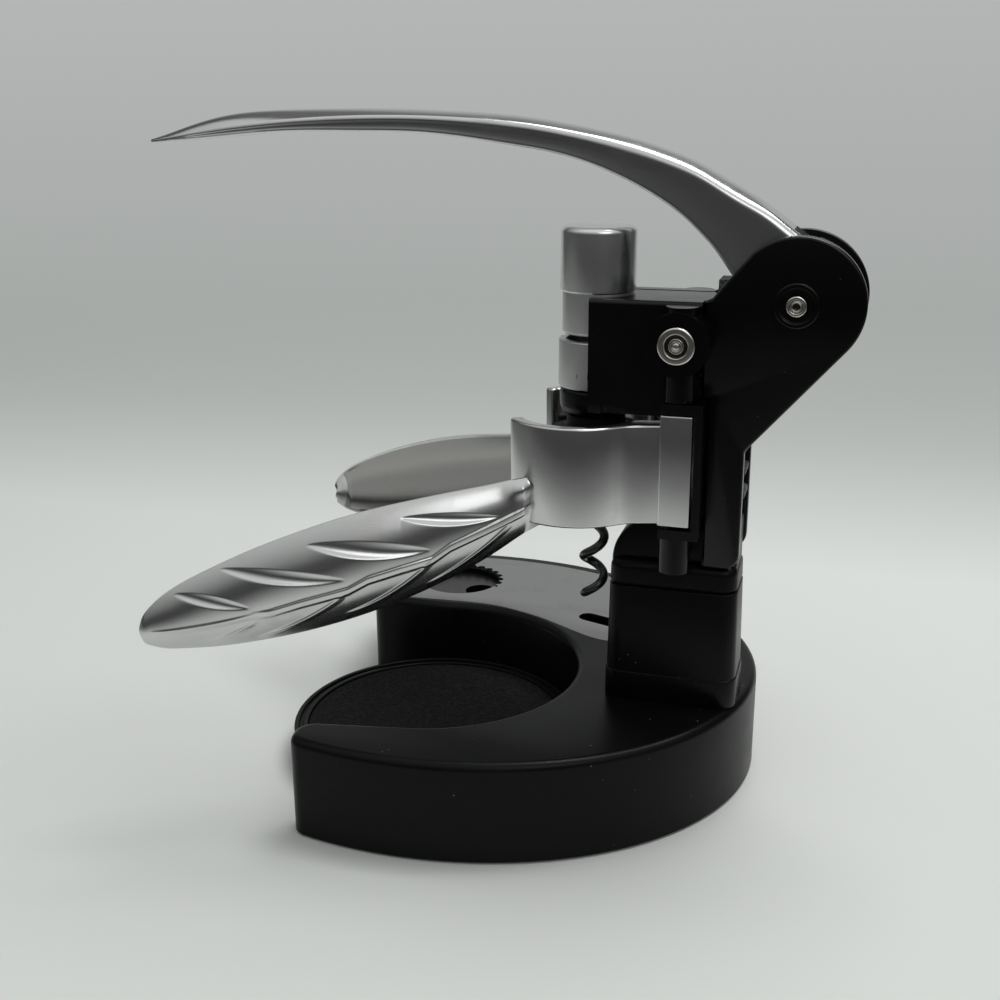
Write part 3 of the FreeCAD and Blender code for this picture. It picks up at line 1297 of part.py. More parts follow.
PIECES = {
    "base_shell": base_shell,
    "bottom_cover": bottom_cover,
    "non_slip_pad": non_slip_pad,
    "base_weight": base_weight,
    "cover_screws": cover_screws,
    "coaster_disc": coaster_disc,
    "coaster_mat": coaster_mat,
    "inlay_plate": inlay_plate,
    "post_body": post_body,
    "post_collar": post_collar,
    "post_cap": post_cap,
    "post_screws": post_screws,
    "near_side_plate": near_side_plate,
    "far_side_plate": lambda: mirrored(near_side_plate()),
    "front_block": front_block,
    "near_clamp_bracket": near_clamp_bracket,
    "far_clamp_bracket": lambda: mirrored(near_clamp_bracket()),
    "clamp_pins": clamp_pins,
    "hub_axle": hub_axle,
    "hub_washers": hub_washers,
    "side_rivets": side_rivets,
    "block_dowels": block_dowels,
    "rack_guide": rack_guide,
    "guide_ring": guide_ring,
    "set_screw": set_screw,
    "neck_bulb": neck_bulb,
    "neck_stop": neck_stop,
    "lever": lever,
    "pinion": pinion,
    "pinion_dowels": pinion_dowels,
    "rack": rack,
    "carrier_arm": carrier_arm,
    "carrier_screws": carrier_screws,
    "sleeve": sleeve,
    "swivel_bush": swivel_bush,
    "thrust_washers": thrust_washers,
    "cap": cap,
    "worm": worm,
    "near_clamp_handle": near_clamp_handle,
    "far_clamp_handle": lambda: mirrored(near_clamp_handle()),
    "near_jaw_liner": near_jaw_liner,
    "far_jaw_liner": lambda: mirrored(near_jaw_liner()),
}

# The pieces on the post are drawn from FRAME_SEAT up, and seated on the post's shoulders
STAND_PIECES = list(PIECES)[:list(PIECES).index("near_side_plate")]
FRAME_LIFT = SHOULDER_TOP - FRAME_SEAT

for node, build in PIECES.items():
    shape = build()
    if node not in STAND_PIECES:
        shape.translate(Vector(0, 0, FRAME_LIFT))
    solids = len(shape.Solids)
    state = "ok" if shape.isValid() else "NOT VALID"
    print(node, solids, state, round(shape.Volume, 1))
    shape.exportStep("parts/" + node + ".step")
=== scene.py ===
# %% [markdown]
# # A tabletop lever corkscrew on its stand
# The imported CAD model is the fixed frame: every body, joint and size comes from it.
# This lesson dresses it. Each piece is a surface worked out as whole numpy arrays, a
# function of two parameters or a profile carried along a path, and each finish is a
# small node tree. Lengths are written in millimetres, as on a drawing, and are turned
# into metres in one place, where a mesh is made.

# %% Start: load the frame
import json
import bpy
import bmesh
import numpy as np
from math import radians, pi
from mathutils import Matrix, Vector
from mathutils.geometry import tessellate_polygon


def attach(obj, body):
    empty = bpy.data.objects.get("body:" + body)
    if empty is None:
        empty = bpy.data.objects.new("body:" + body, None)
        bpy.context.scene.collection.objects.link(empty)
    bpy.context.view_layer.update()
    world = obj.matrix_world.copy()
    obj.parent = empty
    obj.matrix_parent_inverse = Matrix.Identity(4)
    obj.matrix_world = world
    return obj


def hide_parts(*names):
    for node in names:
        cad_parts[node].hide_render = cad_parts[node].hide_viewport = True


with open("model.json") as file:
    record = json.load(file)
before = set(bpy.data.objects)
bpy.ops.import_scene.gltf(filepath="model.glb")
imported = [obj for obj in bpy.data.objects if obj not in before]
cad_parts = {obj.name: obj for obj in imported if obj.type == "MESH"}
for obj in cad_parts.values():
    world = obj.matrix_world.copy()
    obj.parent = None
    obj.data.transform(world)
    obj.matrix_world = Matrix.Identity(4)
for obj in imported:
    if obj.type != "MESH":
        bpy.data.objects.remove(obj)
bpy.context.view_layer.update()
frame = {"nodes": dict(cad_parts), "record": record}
nodes = frame["nodes"]

# %% [markdown]
# ## Meshes from arrays
# A surface is a grid of points, rows by columns. Neighbouring points of the grid make
# the quads, so the faces can be worked out for the whole grid at once. Several grids
# and flat lids are joined into one piece; points that fall together are merged, which
# closes the seams, and the normals are then turned outwards. The other way, bmesh
# calls point by point, is slower and says less about the shape.

# %% Grids, lids and pieces
MM = 0.001
MERGE = 2e-6
SHARP, NEARLY_FLAT = radians(32), radians(0.4)


def grid(points, around=False, along=False):
    """Quads of a rows x columns grid: (i,j), (i,j+1), (i+1,j+1), (i+1,j); `around` and
    `along` join the last column or row to the first."""
    points = np.asarray(points, float)
    rows, columns = points.shape[:2]
    i = np.arange(rows if along else rows - 1)
    j = np.arange(columns if around else columns - 1)
    a, b = np.meshgrid(i, j, indexing="ij")
    a2, b2 = (a + 1) % rows, (b + 1) % columns
    quads = np.stack([a * columns + b, a * columns + b2, a2 * columns + b2, a2 * columns + b], -1)
    return points.reshape(-1, 3), quads.reshape(-1, 4)


def lid(outline, holes=()):
    """A flat lid: the outline less its holes, cut into triangles between their points."""
    loops = [np.asarray(loop, float) for loop in (outline, *holes)]
    triangles = tessellate_polygon([[Vector(p) for p in loop] for loop in loops])
    return np.concatenate(loops), np.array(triangles)


def shaded(mesh):
    """Smooth shading, except across edges that turn by more than SHARP."""
    mesh.polygons.foreach_set("use_smooth", np.ones(len(mesh.polygons), bool))
    mesh.set_sharp_from_angle(angle=SHARP)
    return mesh


def cleaned(mesh, flat_angle=None):
    """Merges shared points, drops needless edges and turns normals outwards: the edges
    between faces that differ by less than an angle, or the ones of no length."""
    work = bmesh.new()
    work.from_mesh(mesh)
    bmesh.ops.remove_doubles(work, verts=work.verts, dist=MERGE)
    if flat_angle:
        bmesh.ops.dissolve_limit(work, angle_limit=flat_angle, verts=work.verts, edges=work.edges)
    else:
        bmesh.ops.dissolve_degenerate(work, edges=work.edges, dist=MERGE / 4)
    bmesh.ops.recalc_face_normals(work, faces=work.faces)
    work.to_mesh(mesh)
    work.free()
    return shaded(mesh)


def make_mesh(name, parts):
    """Joins parts (points in mm, faces) into one cleaned mesh in metres."""
    mesh = bpy.data.meshes.new(name)
    starts = np.cumsum([0] + [len(points) for points, _ in parts])
    faces = [face for start, (_, some) in zip(starts, parts) for face in (np.asarray(some) + start).tolist()]
    mesh.from_pydata(np.concatenate([points for points, _ in parts]) * MM, [], faces)
    return cleaned(mesh)


def placed(name, data):
    """An object with the given data, linked to the scene."""
    made = bpy.data.objects.new(name, data)
    bpy.context.scene.collection.objects.link(made)
    return made


def piece(name, shape, body, slot, node):
    """One piece of the object, from a mesh or from parts: its finish, the body that it
    rides on and the CAD node that it replaces."""
    mesh = shape if isinstance(shape, bpy.types.Mesh) else make_mesh(name, shape)
    made = placed(name, mesh)
    mesh.materials.append(finishes[slot])
    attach(made, body)
    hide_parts(node)
    low, high = np.array([v[:] for v in made.bound_box])[[0, 6]] / MM
    print(name, "faces", len(mesh.polygons), "from", low.round(1), "to", high.round(1))
    return made


def per_face(mesh, what):
    """One vector of each face, its center or its normal, as an array."""
    values = np.empty(3 * len(mesh.polygons), np.float32)
    mesh.polygons.foreach_get(what, values)
    return values.reshape(-1, 3)


def second_finish(made, slot, chosen):
    """Gives the chosen faces of a piece another finish."""
    made.data.materials.append(finishes[slot])
    made.data.polygons.foreach_set("material_index", chosen.astype(np.int32))


def mirrored(parts):
    """The same parts on the other side of the mid-plane: y becomes -y."""
    return [(points * [1, -1, 1], faces) for points, faces in parts]


# %% [markdown]
# ## Profiles, outlines and slabs
# Nearly everything here is one of three things: a turned part, whose profile spins
# round an axis; a slab, whose outline is carried through a thickness; or a bar with a
# section that changes along it. A real edge is never perfectly sharp, so corners of
# profiles and outlines are rounded before they are used, and slabs get a bevelled rim.
# The Bevel modifier could do it too, but rounding the outline keeps the grid regular.

# %% Outlines
def rounded(corners, radii, steps=6, closed=True):
    """Replaces corners of a flat polyline by arcs: each arc touches both sides at the
    distance r * tan(turn / 2) from its corner."""
    corners = np.asarray(corners, float)
    radii = np.broadcast_to(np.asarray(radii, float), len(corners))
    made = []
    for i, (corner, radius) in enumerate(zip(corners, radii)):
        ends = not closed and i in (0, len(corners) - 1)
        if ends or radius <= 0:
            made.append(corner[None])
            continue
        back, on = corners[i - 1] - corner, corners[(i + 1) % len(corners)] - corner
        back, on = back / np.linalg.norm(back), on / np.linalg.norm(on)
        half = np.arccos(np.clip(back @ on, -1, 1)) / 2
        if half > pi / 2 - 0.01:
            made.append(corner[None])
            continue
        middle = (back + on) / np.linalg.norm(back + on)
        centre = corner + middle * radius / np.sin(half)
        sweep = np.linspace(-1, 1, steps + 1)[:, None] * (pi / 2 - half)
        side = (on - back) / np.linalg.norm(on - back)
        made.append(centre + radius * (side * np.sin(sweep) - middle * np.cos(sweep)))
    return np.concatenate(made)


def circle(x, y, radius, steps):
    """Points on a circle, counter-clockwise."""
    a = np.arange(steps) * 2 * pi / steps
    return np.stack([x + radius * np.cos(a), y + radius * np.sin(a)], -1)


def arc(x, y, radius, start_deg, end_deg, steps=24):
    """Points on part of a circle, both ends included."""
    a = np.radians(np.linspace(start_deg, end_deg, steps + 1))
    return np.stack([x + radius * np.cos(a), y + radius * np.sin(a)], -1)


def inset(outline, distance):
    """Moves a closed outline inwards along the mean of its neighbouring edge normals."""
    area = np.sum(outline[:, 0] * np.roll(outline[:, 1], -1) - outline[:, 1] * np.roll(outline[:, 0], -1))
    back, on = outline - np.roll(outline, 1, 0), np.roll(outline, -1, 0) - outline
    back /= np.linalg.norm(back, axis=1)[:, None]
    on /= np.linalg.norm(on, axis=1)[:, None]
    normal = (back + on)[:, ::-1] * [-1, 1]
    normal /= np.linalg.norm(normal, axis=1)[:, None]
    reach = distance / np.maximum(np.sum(normal * (back[:, ::-1] * [-1, 1]), axis=1), 0.35)
    return outline + normal * reach[:, None] * np.sign(area)


def upright(outline, height):
    """A plan outline (x, y) lifted to a height."""
    return np.column_stack([outline, np.full(len(outline), height)])


def sideways(outline, y):
    """A side outline (x, z) placed at a depth y."""
    return np.column_stack([outline[:, 0], np.full(len(outline), y), outline[:, 1]])


def quarter(radius, steps=3):
    """(inset, drop) pairs round an edge, from the side to the top: r (1 - cos t), r (1 - sin t)."""
    t = np.linspace(0, pi / 2, steps + 1)
    return list(zip(radius * (1 - np.cos(t)), radius * (1 - np.sin(t))))


def slab(outline, low, high, bevel_low=0.3, bevel_high=0.3, holes=(), place=upright):
    """An outline carried from one level to another, with round rims and straight holes."""
    rows = [(drop, low + i) for i, drop in quarter(bevel_low)]
    rows += [(i, high - drop) for i, drop in quarter(bevel_high)]
    skin = np.stack([place(inset(outline, i), level) for i, level in rows])
    parts = [grid(skin, around=True)]
    for level, i in ((low, bevel_low), (high, bevel_high)):
        parts.append(lid(place(inset(outline, i), level), [place(hole, level) for hole in holes]))
    for hole in holes:
        parts.append(grid(np.stack([place(hole, low), place(hole, high)]), around=True))
    return parts


def turned(profile, centre, axis="z", steps=96, closed=False):
    """Spins a profile of (radius, height) points round an axis through `centre`; a closed
    profile makes a ring, an open one starts and ends on the axis."""
    profile = np.asarray(profile, float)
    a = np.arange(steps) * 2 * pi / steps
    radius, height = profile[:, 0][:, None], profile[:, 1][:, None]
    first, second = radius * np.cos(a), radius * np.sin(a)
    along = np.broadcast_to(height, first.shape)
    order = {"z": (first, second, along), "y": (first, along, second)}[axis]
    return [grid(np.stack(order, -1) + np.asarray(centre, float), around=True, along=closed)]


def tube(path, radius, steps=20):
    """A round tube along a path: each ring stands square to the path, and its first
    direction is the world's up less its part along the path."""
    tangent = np.gradient(path, axis=0)
    tangent /= np.linalg.norm(tangent, axis=1)[:, None]
    up = np.array([0.0, 0.0, 1.0]) - tangent * tangent[:, 2:3]
    up /= np.linalg.norm(up, axis=1)[:, None]
    side = np.cross(tangent, up)
    a = np.arange(steps) * 2 * pi / steps
    radius = np.broadcast_to(radius, len(path))[:, None, None]
    rings = path[:, None] + radius * (up[:, None] * np.cos(a)[:, None] + side[:, None] * np.sin(a)[:, None])
    ends = [np.broadcast_to(path[[i]], rings[0].shape)[None] for i in (0, -1)]
    return [grid(np.concatenate([ends[0], rings, ends[1]]), around=True)]


def smooth_line(knots, at):
    """A smooth curve through knots (first column the parameter), by natural cubic pieces."""
    knots = np.asarray(knots, float)
    t, values = knots[:, 0], knots[:, 1:]
    h = np.diff(t)
    system = np.eye(len(t))
    right = np.zeros_like(values)
    for i in range(1, len(t) - 1):
        system[i, i - 1:i + 2] = h[i - 1], 2 * (h[i - 1] + h[i]), h[i]
        right[i] = 6 * ((values[i + 1] - values[i]) / h[i] - (values[i] - values[i - 1]) / h[i - 1])
    bend = np.linalg.solve(system, right)
    at = np.asarray(at, float)
    k = np.clip(np.searchsorted(t, at) - 1, 0, len(h) - 1)
    u = ((at - t[k]) / h[k])[:, None]
    w = 1 - u
    cubic = (w ** 3 - w) * bend[k] + (u ** 3 - u) * bend[k + 1]
    return w * values[k] + u * values[k + 1] + cubic * (h[k] ** 2)[:, None] / 6


def softened(node, name, body, slot, width, segments=2):
    """A merged copy of a CAD node with its sharp edges rounded by a Bevel modifier."""
    mesh = nodes[node].data.copy()
    mesh.name = name
    mesh.materials.clear()
    if "custom_normal" in mesh.attributes:
        mesh.attributes.remove(mesh.attributes["custom_normal"])
    made = piece(name, cleaned(mesh, NEARLY_FLAT), body, slot, node)
    bevel = made.modifiers.new("soft edges", "BEVEL")
    bevel.width = width * MM
    bevel.segments = segments
    bevel.limit_method = "ANGLE"
    bevel.angle_limit = SHARP
    bevel.harden_normals = True


# %% [markdown]
# ## Finishes as Python expressions
# A finish is a tree of shader nodes. Drawing it by hand hides the arithmetic, so a
# number that changes over the surface is wrapped here in a small class: writing
# 1 - mask or grain * 0.2 adds the Math nodes. Every other node comes from one method,
# which sets the node's own options first and then its sockets. Patterns read Object
# coordinates in metres: all pieces share the object's frame, so a grain runs on from
# one piece to the next and keeps its real size.

# %% Values and finishes
class Value:
    """A shader socket in arithmetic: each operator adds one Math node."""

    def __init__(self, tree, socket):
        self.tree, self.socket = tree, socket

    def math(self, operation, *others):
        """One Math node: this value is its first input, the others follow."""
        made = self.tree.nodes.new("ShaderNodeMath")
        made.operation = operation
        for place, value in zip(made.inputs, (self, *others)):
            feed(self.tree, place, value)
        return Value(self.tree, made.outputs[0])

    def __add__(self, other):
        return self.math("ADD", other)

    def __sub__(self, other):
        return self.math("SUBTRACT", other)

    def __rsub__(self, other):
        return self.math("MULTIPLY", -1.0) + other

    def __mul__(self, other):
        return self.math("MULTIPLY", other)

    def __pow__(self, other):
        return self.math("POWER", other)

    __radd__, __rmul__ = __add__, __mul__

    def between(self, low, high):
        """0 below low, 1 above high, a straight ramp between."""
        return ((self - low) * (1 / (high - low))).math("MAXIMUM", 0.0).math("MINIMUM", 1.0)


def feed(tree, place, value):
    """Gives a socket a link or a plain value."""
    if isinstance(value, Value):
        tree.links.new(value.socket, place)
    else:
        place.default_value = value


class Finish:
    """One material: a Principled shader and the nodes that feed it."""

    def __init__(self, name, **plain):
        self.material = bpy.data.materials.new(name)
        self.material.use_nodes = True
        self.tree = self.material.node_tree
        self.shader = self.tree.nodes["Principled BSDF"]
        self.set(**plain)
        self.place = self.node("ShaderNodeTexCoord", out="Object")

    def set(self, **sockets):
        """Feeds the shader's sockets; a name like coat_weight is the socket Coat Weight."""
        for name, value in sockets.items():
            title = name.replace("_", " ").title().replace("Ior", "IOR")
            feed(self.tree, self.shader.inputs[title], value)

    def node(self, kind, options=None, out=0, **sockets):
        """Any node: its options are set first, then the values or links of its sockets."""
        made = self.tree.nodes.new(kind)
        for name, value in (options or {}).items():
            setattr(made, name, value)
        for name, value in sockets.items():
            index = int(name[1:]) if name[1:].isdigit() else name.replace("_", " ").title()
            feed(self.tree, made.inputs[index], value)
        return Value(self.tree, made.outputs[out])

    def noise(self, scale, detail=2.0, rough=0.5, stretch=(1, 1, 1)):
        """Noise from 0 to 1; `stretch` scales the axes, so a small number draws it out."""
        at = self.node("ShaderNodeMapping", Vector=self.place, Scale=stretch)
        return self.node("ShaderNodeTexNoise", Vector=at, Scale=scale, Detail=detail, Roughness=rough)

    def cells(self, scale):
        """Distance to the nearest scattered point, in cells."""
        return self.node("ShaderNodeTexVoronoi", out="Distance", Vector=self.place, Scale=scale)

    def mix(self, share, first, second):
        """A colour between two colours."""
        return self.node("ShaderNodeMix", {"data_type": "RGBA"}, out=2, i0=share, i6=first, i7=second)

    def axis(self, name):
        """One coordinate of the place, in metres."""
        return self.node("ShaderNodeSeparateXYZ", out=name, Vector=self.place)

    def bump(self, height, distance):
        """Feeds the normal with a height in [0, 1] that is `distance` mm deep."""
        self.set(normal=self.node("ShaderNodeBump", Distance=distance * MM, Height=height))


def grey(level, warm=0.0):
    """A neutral colour; warm above 0 leans to red, below 0 to blue."""
    return (level * (1 + warm), level, level * (1 - warm), 1.0)


finishes = {}


def keep(name, finish):
    """Stores a finish under its slot's name and says how many nodes it took."""
    finishes[name] = finish.material
    print("finish", name, "nodes", len(finish.tree.nodes))


# %% [markdown]
# ## The black parts
# The stand is a semi-matt moulding: nearly black, with a fine even grain that breaks
# the highlight up, wide soft patches where hands have polished it, and a few pale
# specks of dust. The casting that holds the lever is blacker and smoother, like
# lacquer on metal. One function makes both, because only the numbers differ.

# %% Black mouldings and lacquered castings
COOL = -0.02


def black(name, level, smooth, rough, grain_mm, depth_mm, dust=0.0, **plain):
    """Grain, worn patches and dust: roughness = smooth - 0.04 + wear (rough - smooth) + 0.08 grain."""
    finish = Finish(name, **plain)
    patches = finish.noise(45, detail=3)
    grain = finish.noise(1 / (grain_mm * MM), detail=2, rough=0.6)
    wear = patches.between(0.35, 0.7)
    speck = 1 - finish.cells(420).between(0.05, 0.09)
    dusty = speck * finish.noise(160, detail=1).between(0.58, 0.66) * dust
    colour = finish.mix(wear, grey(level, COOL), grey(level * 1.35, COOL))
    colour = finish.mix(dusty, colour, grey(0.22))
    finish.set(base_color=colour, roughness=wear * (rough - smooth) + grain * 0.08 + smooth - 0.04)
    finish.bump(grain, depth_mm)
    keep(name, finish)


black("black_shell", 0.0030, 0.28, 0.38, 0.35, 0.006, dust=0.8, specular_ior_level=0.13)
black("black_frame", 0.0016, 0.18, 0.26, 0.30, 0.003, dust=0.25, specular_ior_level=0.31)
black("black_bush", 0.003, 0.24, 0.32, 0.30, 0.003, dust=0.3, specular_ior_level=0.25)
black("soft_stop", 0.004, 0.55, 0.68, 0.45, 0.012, specular_ior_level=0.15)

# %% [markdown]
# ## Foam
# The mat in the coaster and the pad under the stand are dense foam: a matt black with
# open cells that show as small pits and slightly paler crumbs.

# %% Foam
foam = Finish("foam", specular_ior_level=0.1)
crumbs = foam.noise(1500, detail=3, rough=0.7)
pits = foam.cells(900)
foam.set(base_color=foam.mix(crumbs.between(0.45, 0.75), grey(0.004), grey(0.020)),
         roughness=crumbs * 0.1 + 0.88)
foam.bump(crumbs * 0.6 + pits * 0.4, 0.18)
keep("foam", foam)

# %% [markdown]
# ## The silver parts
# The lever and the clamp handles are satin plated castings. Satin plating is fine
# scratches, mostly along the part, so the roughness and a very shallow bump both follow
# a noise that is stretched along the part. Wide, weak waves in the surface bend the
# reflections, as in a casting that was polished by hand before plating.

# %% Satin plating
def plated(name, level, smooth, rough, stretch, wave_mm, scratch_mm, warm=0.0, blotch=0.06):
    """Scratches, waves and marks: roughness = smooth + scratches (rough - smooth) + marks blotch."""
    finish = Finish(name, metallic=1.0)
    scratches = finish.noise(1800, detail=3, rough=0.6, stretch=stretch)
    waves = finish.noise(38, detail=1)
    cloud = finish.noise(90, detail=3)
    mark = cloud.between(0.56, 0.74)
    finish.set(base_color=finish.mix(mark, grey(level, warm), grey(level * (1 - blotch * 2), warm + 0.01)),
               roughness=scratches * (rough - smooth) + mark * blotch + smooth)
    finish.bump(waves * wave_mm + scratches * scratch_mm, 1.0)
    keep(name, finish)


plated("satin_casting", 0.68, 0.18, 0.24, (0.04, 0.04, 1.0), 0.10, 0.0002)
plated("satin_ring", 0.66, 0.38, 0.46, (1.0, 1.0, 0.3), 0.02, 0.0003)
plated("polished_cap", 0.84, 0.22, 0.28, (1.0, 1.0, 0.05), 0.02, 0.0003)
plated("satin_inlay", 0.38, 0.20, 0.26, (0.10, 1.0, 1.0), 0.02, 0.0002)
# A darker, warmer copy of the casting for the grips' dishes: painted shade and a painted brownish
# reflection.
plated("dish_painted_shade", 0.36, 0.20, 0.26, (0.04, 0.04, 1.0), 0.06, 0.0003, warm=0.02, blotch=0.03)
# The inlay's metal made much darker for the recess floor: painted shade below the grip.
plated("recess_painted_shade", 0.085, 0.24, 0.32, (0.10, 1.0, 1.0), 0.01, 0.0002)
plated("pin_steel", 0.035, 0.24, 0.34, (1.0, 1.0, 0.2), 0.01, 0.0005)
plated("screw_steel", 0.40, 0.30, 0.42, (1.0, 1.0, 1.0), 0.02, 0.0010)
plated("dark_steel", 0.10, 0.30, 0.40, (1.0, 1.0, 1.0), 0.01, 0.0010)

# %% [markdown]
# ### Nickel heads
# The rivets are nickel, a little warm. Their grooves carry painted shade: whatever
# lies deep on the large head (its distance from the mid-plane under about 20.9 mm) or in
# the hollow of the axle's end (under about 12.7 mm) is mixed towards a dark brown.

# %% Nickel with painted shade in its grooves
HEAD_GROOVE, AXLE_HOLLOW, AXLE_ENDS = (20.76, 21.0), (12.55, 12.8), (13.5, 14.0)
nickel = Finish("rivet_nickel", metallic=1.0)
aside = nickel.axis("Y").math("ABSOLUTE") * (1 / MM)
# Painted shade: this share is 0 deep in the head's groove and in the axle's hollow, and 1 elsewhere.
outside_painted_shade = aside.between(*HEAD_GROOVE) + (1 - aside.between(*AXLE_ENDS)) * aside.between(*AXLE_HOLLOW)
film = nickel.noise(900, detail=3)
plain_nickel = nickel.mix(film, grey(0.80, 0.05), grey(0.70, 0.07))
# The dark brown is painted shade in the grooves and the hollow.
nickel.set(base_color=nickel.mix(outside_painted_shade, grey(0.09, 0.12), plain_nickel), roughness=film * 0.05 + 0.17)
nickel.bump(film, 0.002)
keep("rivet_nickel", nickel)

# %% [markdown]
# ## Rack, worm and the hidden pieces
# The rack is cut steel, dull grey with dark specks in the tooth spaces. The worm is
# spring wire under a black low-friction coat. The weight and the bearings are inside.

# %% Cut steel, coated wire, iron, bearing plastic
rack_steel = Finish("gear_steel", metallic=0.75)
speckle = rack_steel.noise(1300, detail=4, rough=0.75)
dark_specks = speckle.between(0.42, 0.62)
rack_steel.set(base_color=rack_steel.mix(dark_specks, grey(0.10), grey(0.30)),
               roughness=0.62 - dark_specks * 0.14)
rack_steel.bump(speckle, 0.12)
keep("gear_steel", rack_steel)


def grained(name, noise, first, second, smooth, rough, depth_mm, coated=False, **plain):
    """A finish from one noise, which mixes two colours, varies the roughness between two
    values, lifts the surface and, on a coated wire, varies the coat."""
    finish = Finish(name, **plain)
    grain = finish.noise(*noise)
    finish.set(base_color=finish.mix(grain, first, second), roughness=grain * (rough - smooth) + smooth)
    if coated:
        finish.set(coat_weight=grain * 0.2 + 0.3, coat_roughness=0.12)
    finish.bump(grain, depth_mm)
    keep(name, finish)


grained("black_worm", (700,), grey(0.012), grey(0.022), 0.22, 0.36, 0.01, coated=True)
grained("dark_iron", (500, 4, 0.7), grey(0.08), grey(0.20), 0.55, 0.75, 0.15, metallic=0.6)
grained("guide_plastic", (300,), grey(0.70, 0.04), grey(0.78, 0.03), 0.4, 0.5, 0.01)

slot_of = {part["node"]: part["material_slot"] for part in frame["record"]["subparts"]}
for name, node in nodes.items():
    node.data.materials.clear()
    node.data.materials.append(finishes[slot_of[name]])
print("finishes", len(finishes), "CAD nodes dressed", len(nodes))


# %% [markdown]
# ## The stand's shell
# The stand is an oval block with a round bite taken out of it, open towards the arm
# tips. Its plan is one closed outline: part of an ellipse, a straight cut across both
# arm tips, the round cut-out and the two sides of its mouth. The same function gives
# the outline at any inset, always with the same number of points, so the wall and the
# rounded top edge are simply rows of that outline at growing insets. The top is a flat
# lid with a hole for the inlay plate.

# %% Plan of the stand
OVAL = np.array([88.9, 75.1])
OVAL_CENTRE = np.array([-22.4, 15.8])
OVAL_TURN = radians(-7.3)
TIPS_DEG = (-98.7, 126.4)
BITE_X, BITE_RADIUS, BITE_FLARE = -25.0, 41.7, radians(10)
MOUTH_FAR_Y = 40.8
TIP_ROUND, TIP_ROUND_WIDE, CORNER_STEPS = 5.0, 11.0, 10
SEARCH_REACH, SEARCH_STEPS = 0.9, 4000
BASE_TOP, BASE_LOW, WALL = 28.0, 0.4, 2.6
TURN = np.array([[np.cos(OVAL_TURN), -np.sin(OVAL_TURN)], [np.sin(OVAL_TURN), np.cos(OVAL_TURN)]])


def oval(angle, gap=0.0):
    """Points of the ellipse with both half axes `gap` shorter, at the ellipse's own angles."""
    flat = np.stack([(OVAL[0] - gap) * np.cos(angle), (OVAL[1] - gap) * np.sin(angle)], -1)
    return flat @ TURN.T + OVAL_CENTRE


tip_near, tip_far = oval(np.radians(TIPS_DEG))
tip_along = (tip_far - tip_near) / np.linalg.norm(tip_far - tip_near)
tip_inward = np.array([tip_along[1], -tip_along[0]])


def oval_corner(gap, radius, at_far):
    """Where an arc of a radius touches both the oval and the tip line: its centre lies
    as far from one as from the other. Found on a fine run of the oval's own angles."""
    end = radians(TIPS_DEG[1 if at_far else 0])
    back = end + (-1 if at_far else 1) * np.linspace(0.0, SEARCH_REACH, SEARCH_STEPS)
    edge = oval(back, gap)
    out = np.gradient(edge, axis=0)[:, ::-1] * [1, -1]
    out /= np.linalg.norm(out, axis=1)[:, None]
    out *= np.sign(np.sum(out * (edge - OVAL_CENTRE), axis=1))[:, None]
    centres = edge - out * radius
    depth = (centres - tip_near) @ tip_inward - gap - radius
    k = int(np.argmin(np.where(back == end, 1e9, np.abs(depth))))
    return centres[k], back[k]


def corner_arc(centre, start, end):
    """The short arc about a centre from one point to another."""
    a, b = (np.arctan2(*(p - centre)[::-1]) for p in (start, end))
    b = a + (b - a + pi) % (2 * pi) - pi
    t = np.linspace(a, b, CORNER_STEPS + 1)[:, None]
    return centre + np.linalg.norm(start - centre) * np.concatenate([np.cos(t), np.sin(t)], 1)


def plan(gap=0.0):
    """The stand's plan with its wall moved in by `gap`: oval, far tip, bite, near tip."""
    small = TIP_ROUND - gap / 2
    near_centre, near_angle = oval_corner(gap, small, False)
    far_centre, far_angle = oval_corner(gap, TIP_ROUND_WIDE - gap / 2, True)
    outer = oval(np.linspace(near_angle, far_angle, 181), gap)
    on_tip = [c - tip_inward * ((c - tip_near) @ tip_inward - gap) for c in (near_centre, far_centre)]
    radius = BITE_RADIUS + gap
    far_y = MOUTH_FAR_Y + gap
    mouth = np.array([BITE_X - np.sqrt(radius ** 2 - far_y ** 2), far_y])
    shift = tip_near + tip_inward * gap
    far_corner = shift + tip_along * ((far_y - shift[1]) / tip_along[1])
    near_touch = np.array([BITE_X + radius * np.sin(BITE_FLARE), -radius * np.cos(BITE_FLARE)])
    heading = -np.array([np.cos(BITE_FLARE), np.sin(BITE_FLARE)])
    reach = np.linalg.solve(np.column_stack([heading, -tip_along]), shift - near_touch)
    near_corner = near_touch + heading * reach[0]
    inner = rounded([on_tip[1], far_corner, mouth], [0, small, 0], 8, closed=False)
    start = np.degrees(np.arctan2(far_y, mouth[0] - BITE_X))
    bite = arc(BITE_X, 0.0, radius, start, np.degrees(BITE_FLARE) - 90, 120)
    near = rounded([bite[-1], near_corner, on_tip[0]], [0, small, 0], 8, closed=False)
    return np.concatenate([
        outer, corner_arc(far_centre, outer[-1], on_tip[1])[1:-1], inner[:-1], bite[:-1], near[:-1],
        corner_arc(near_centre, on_tip[0], outer[0])[:-1],
    ])


print("points round the plan", len(plan()), "and inset", len(plan(WALL)))

# %% [markdown]
# ### What the top holds
# The silver inlay sits in a shallow seat. Through it go a round recess for the foil
# cutter, scalloped on its far side, and a slot for a spare worm; the recess has a deeper
# place for a fingertip. All are outlines, carried down as straight walls to a floor.

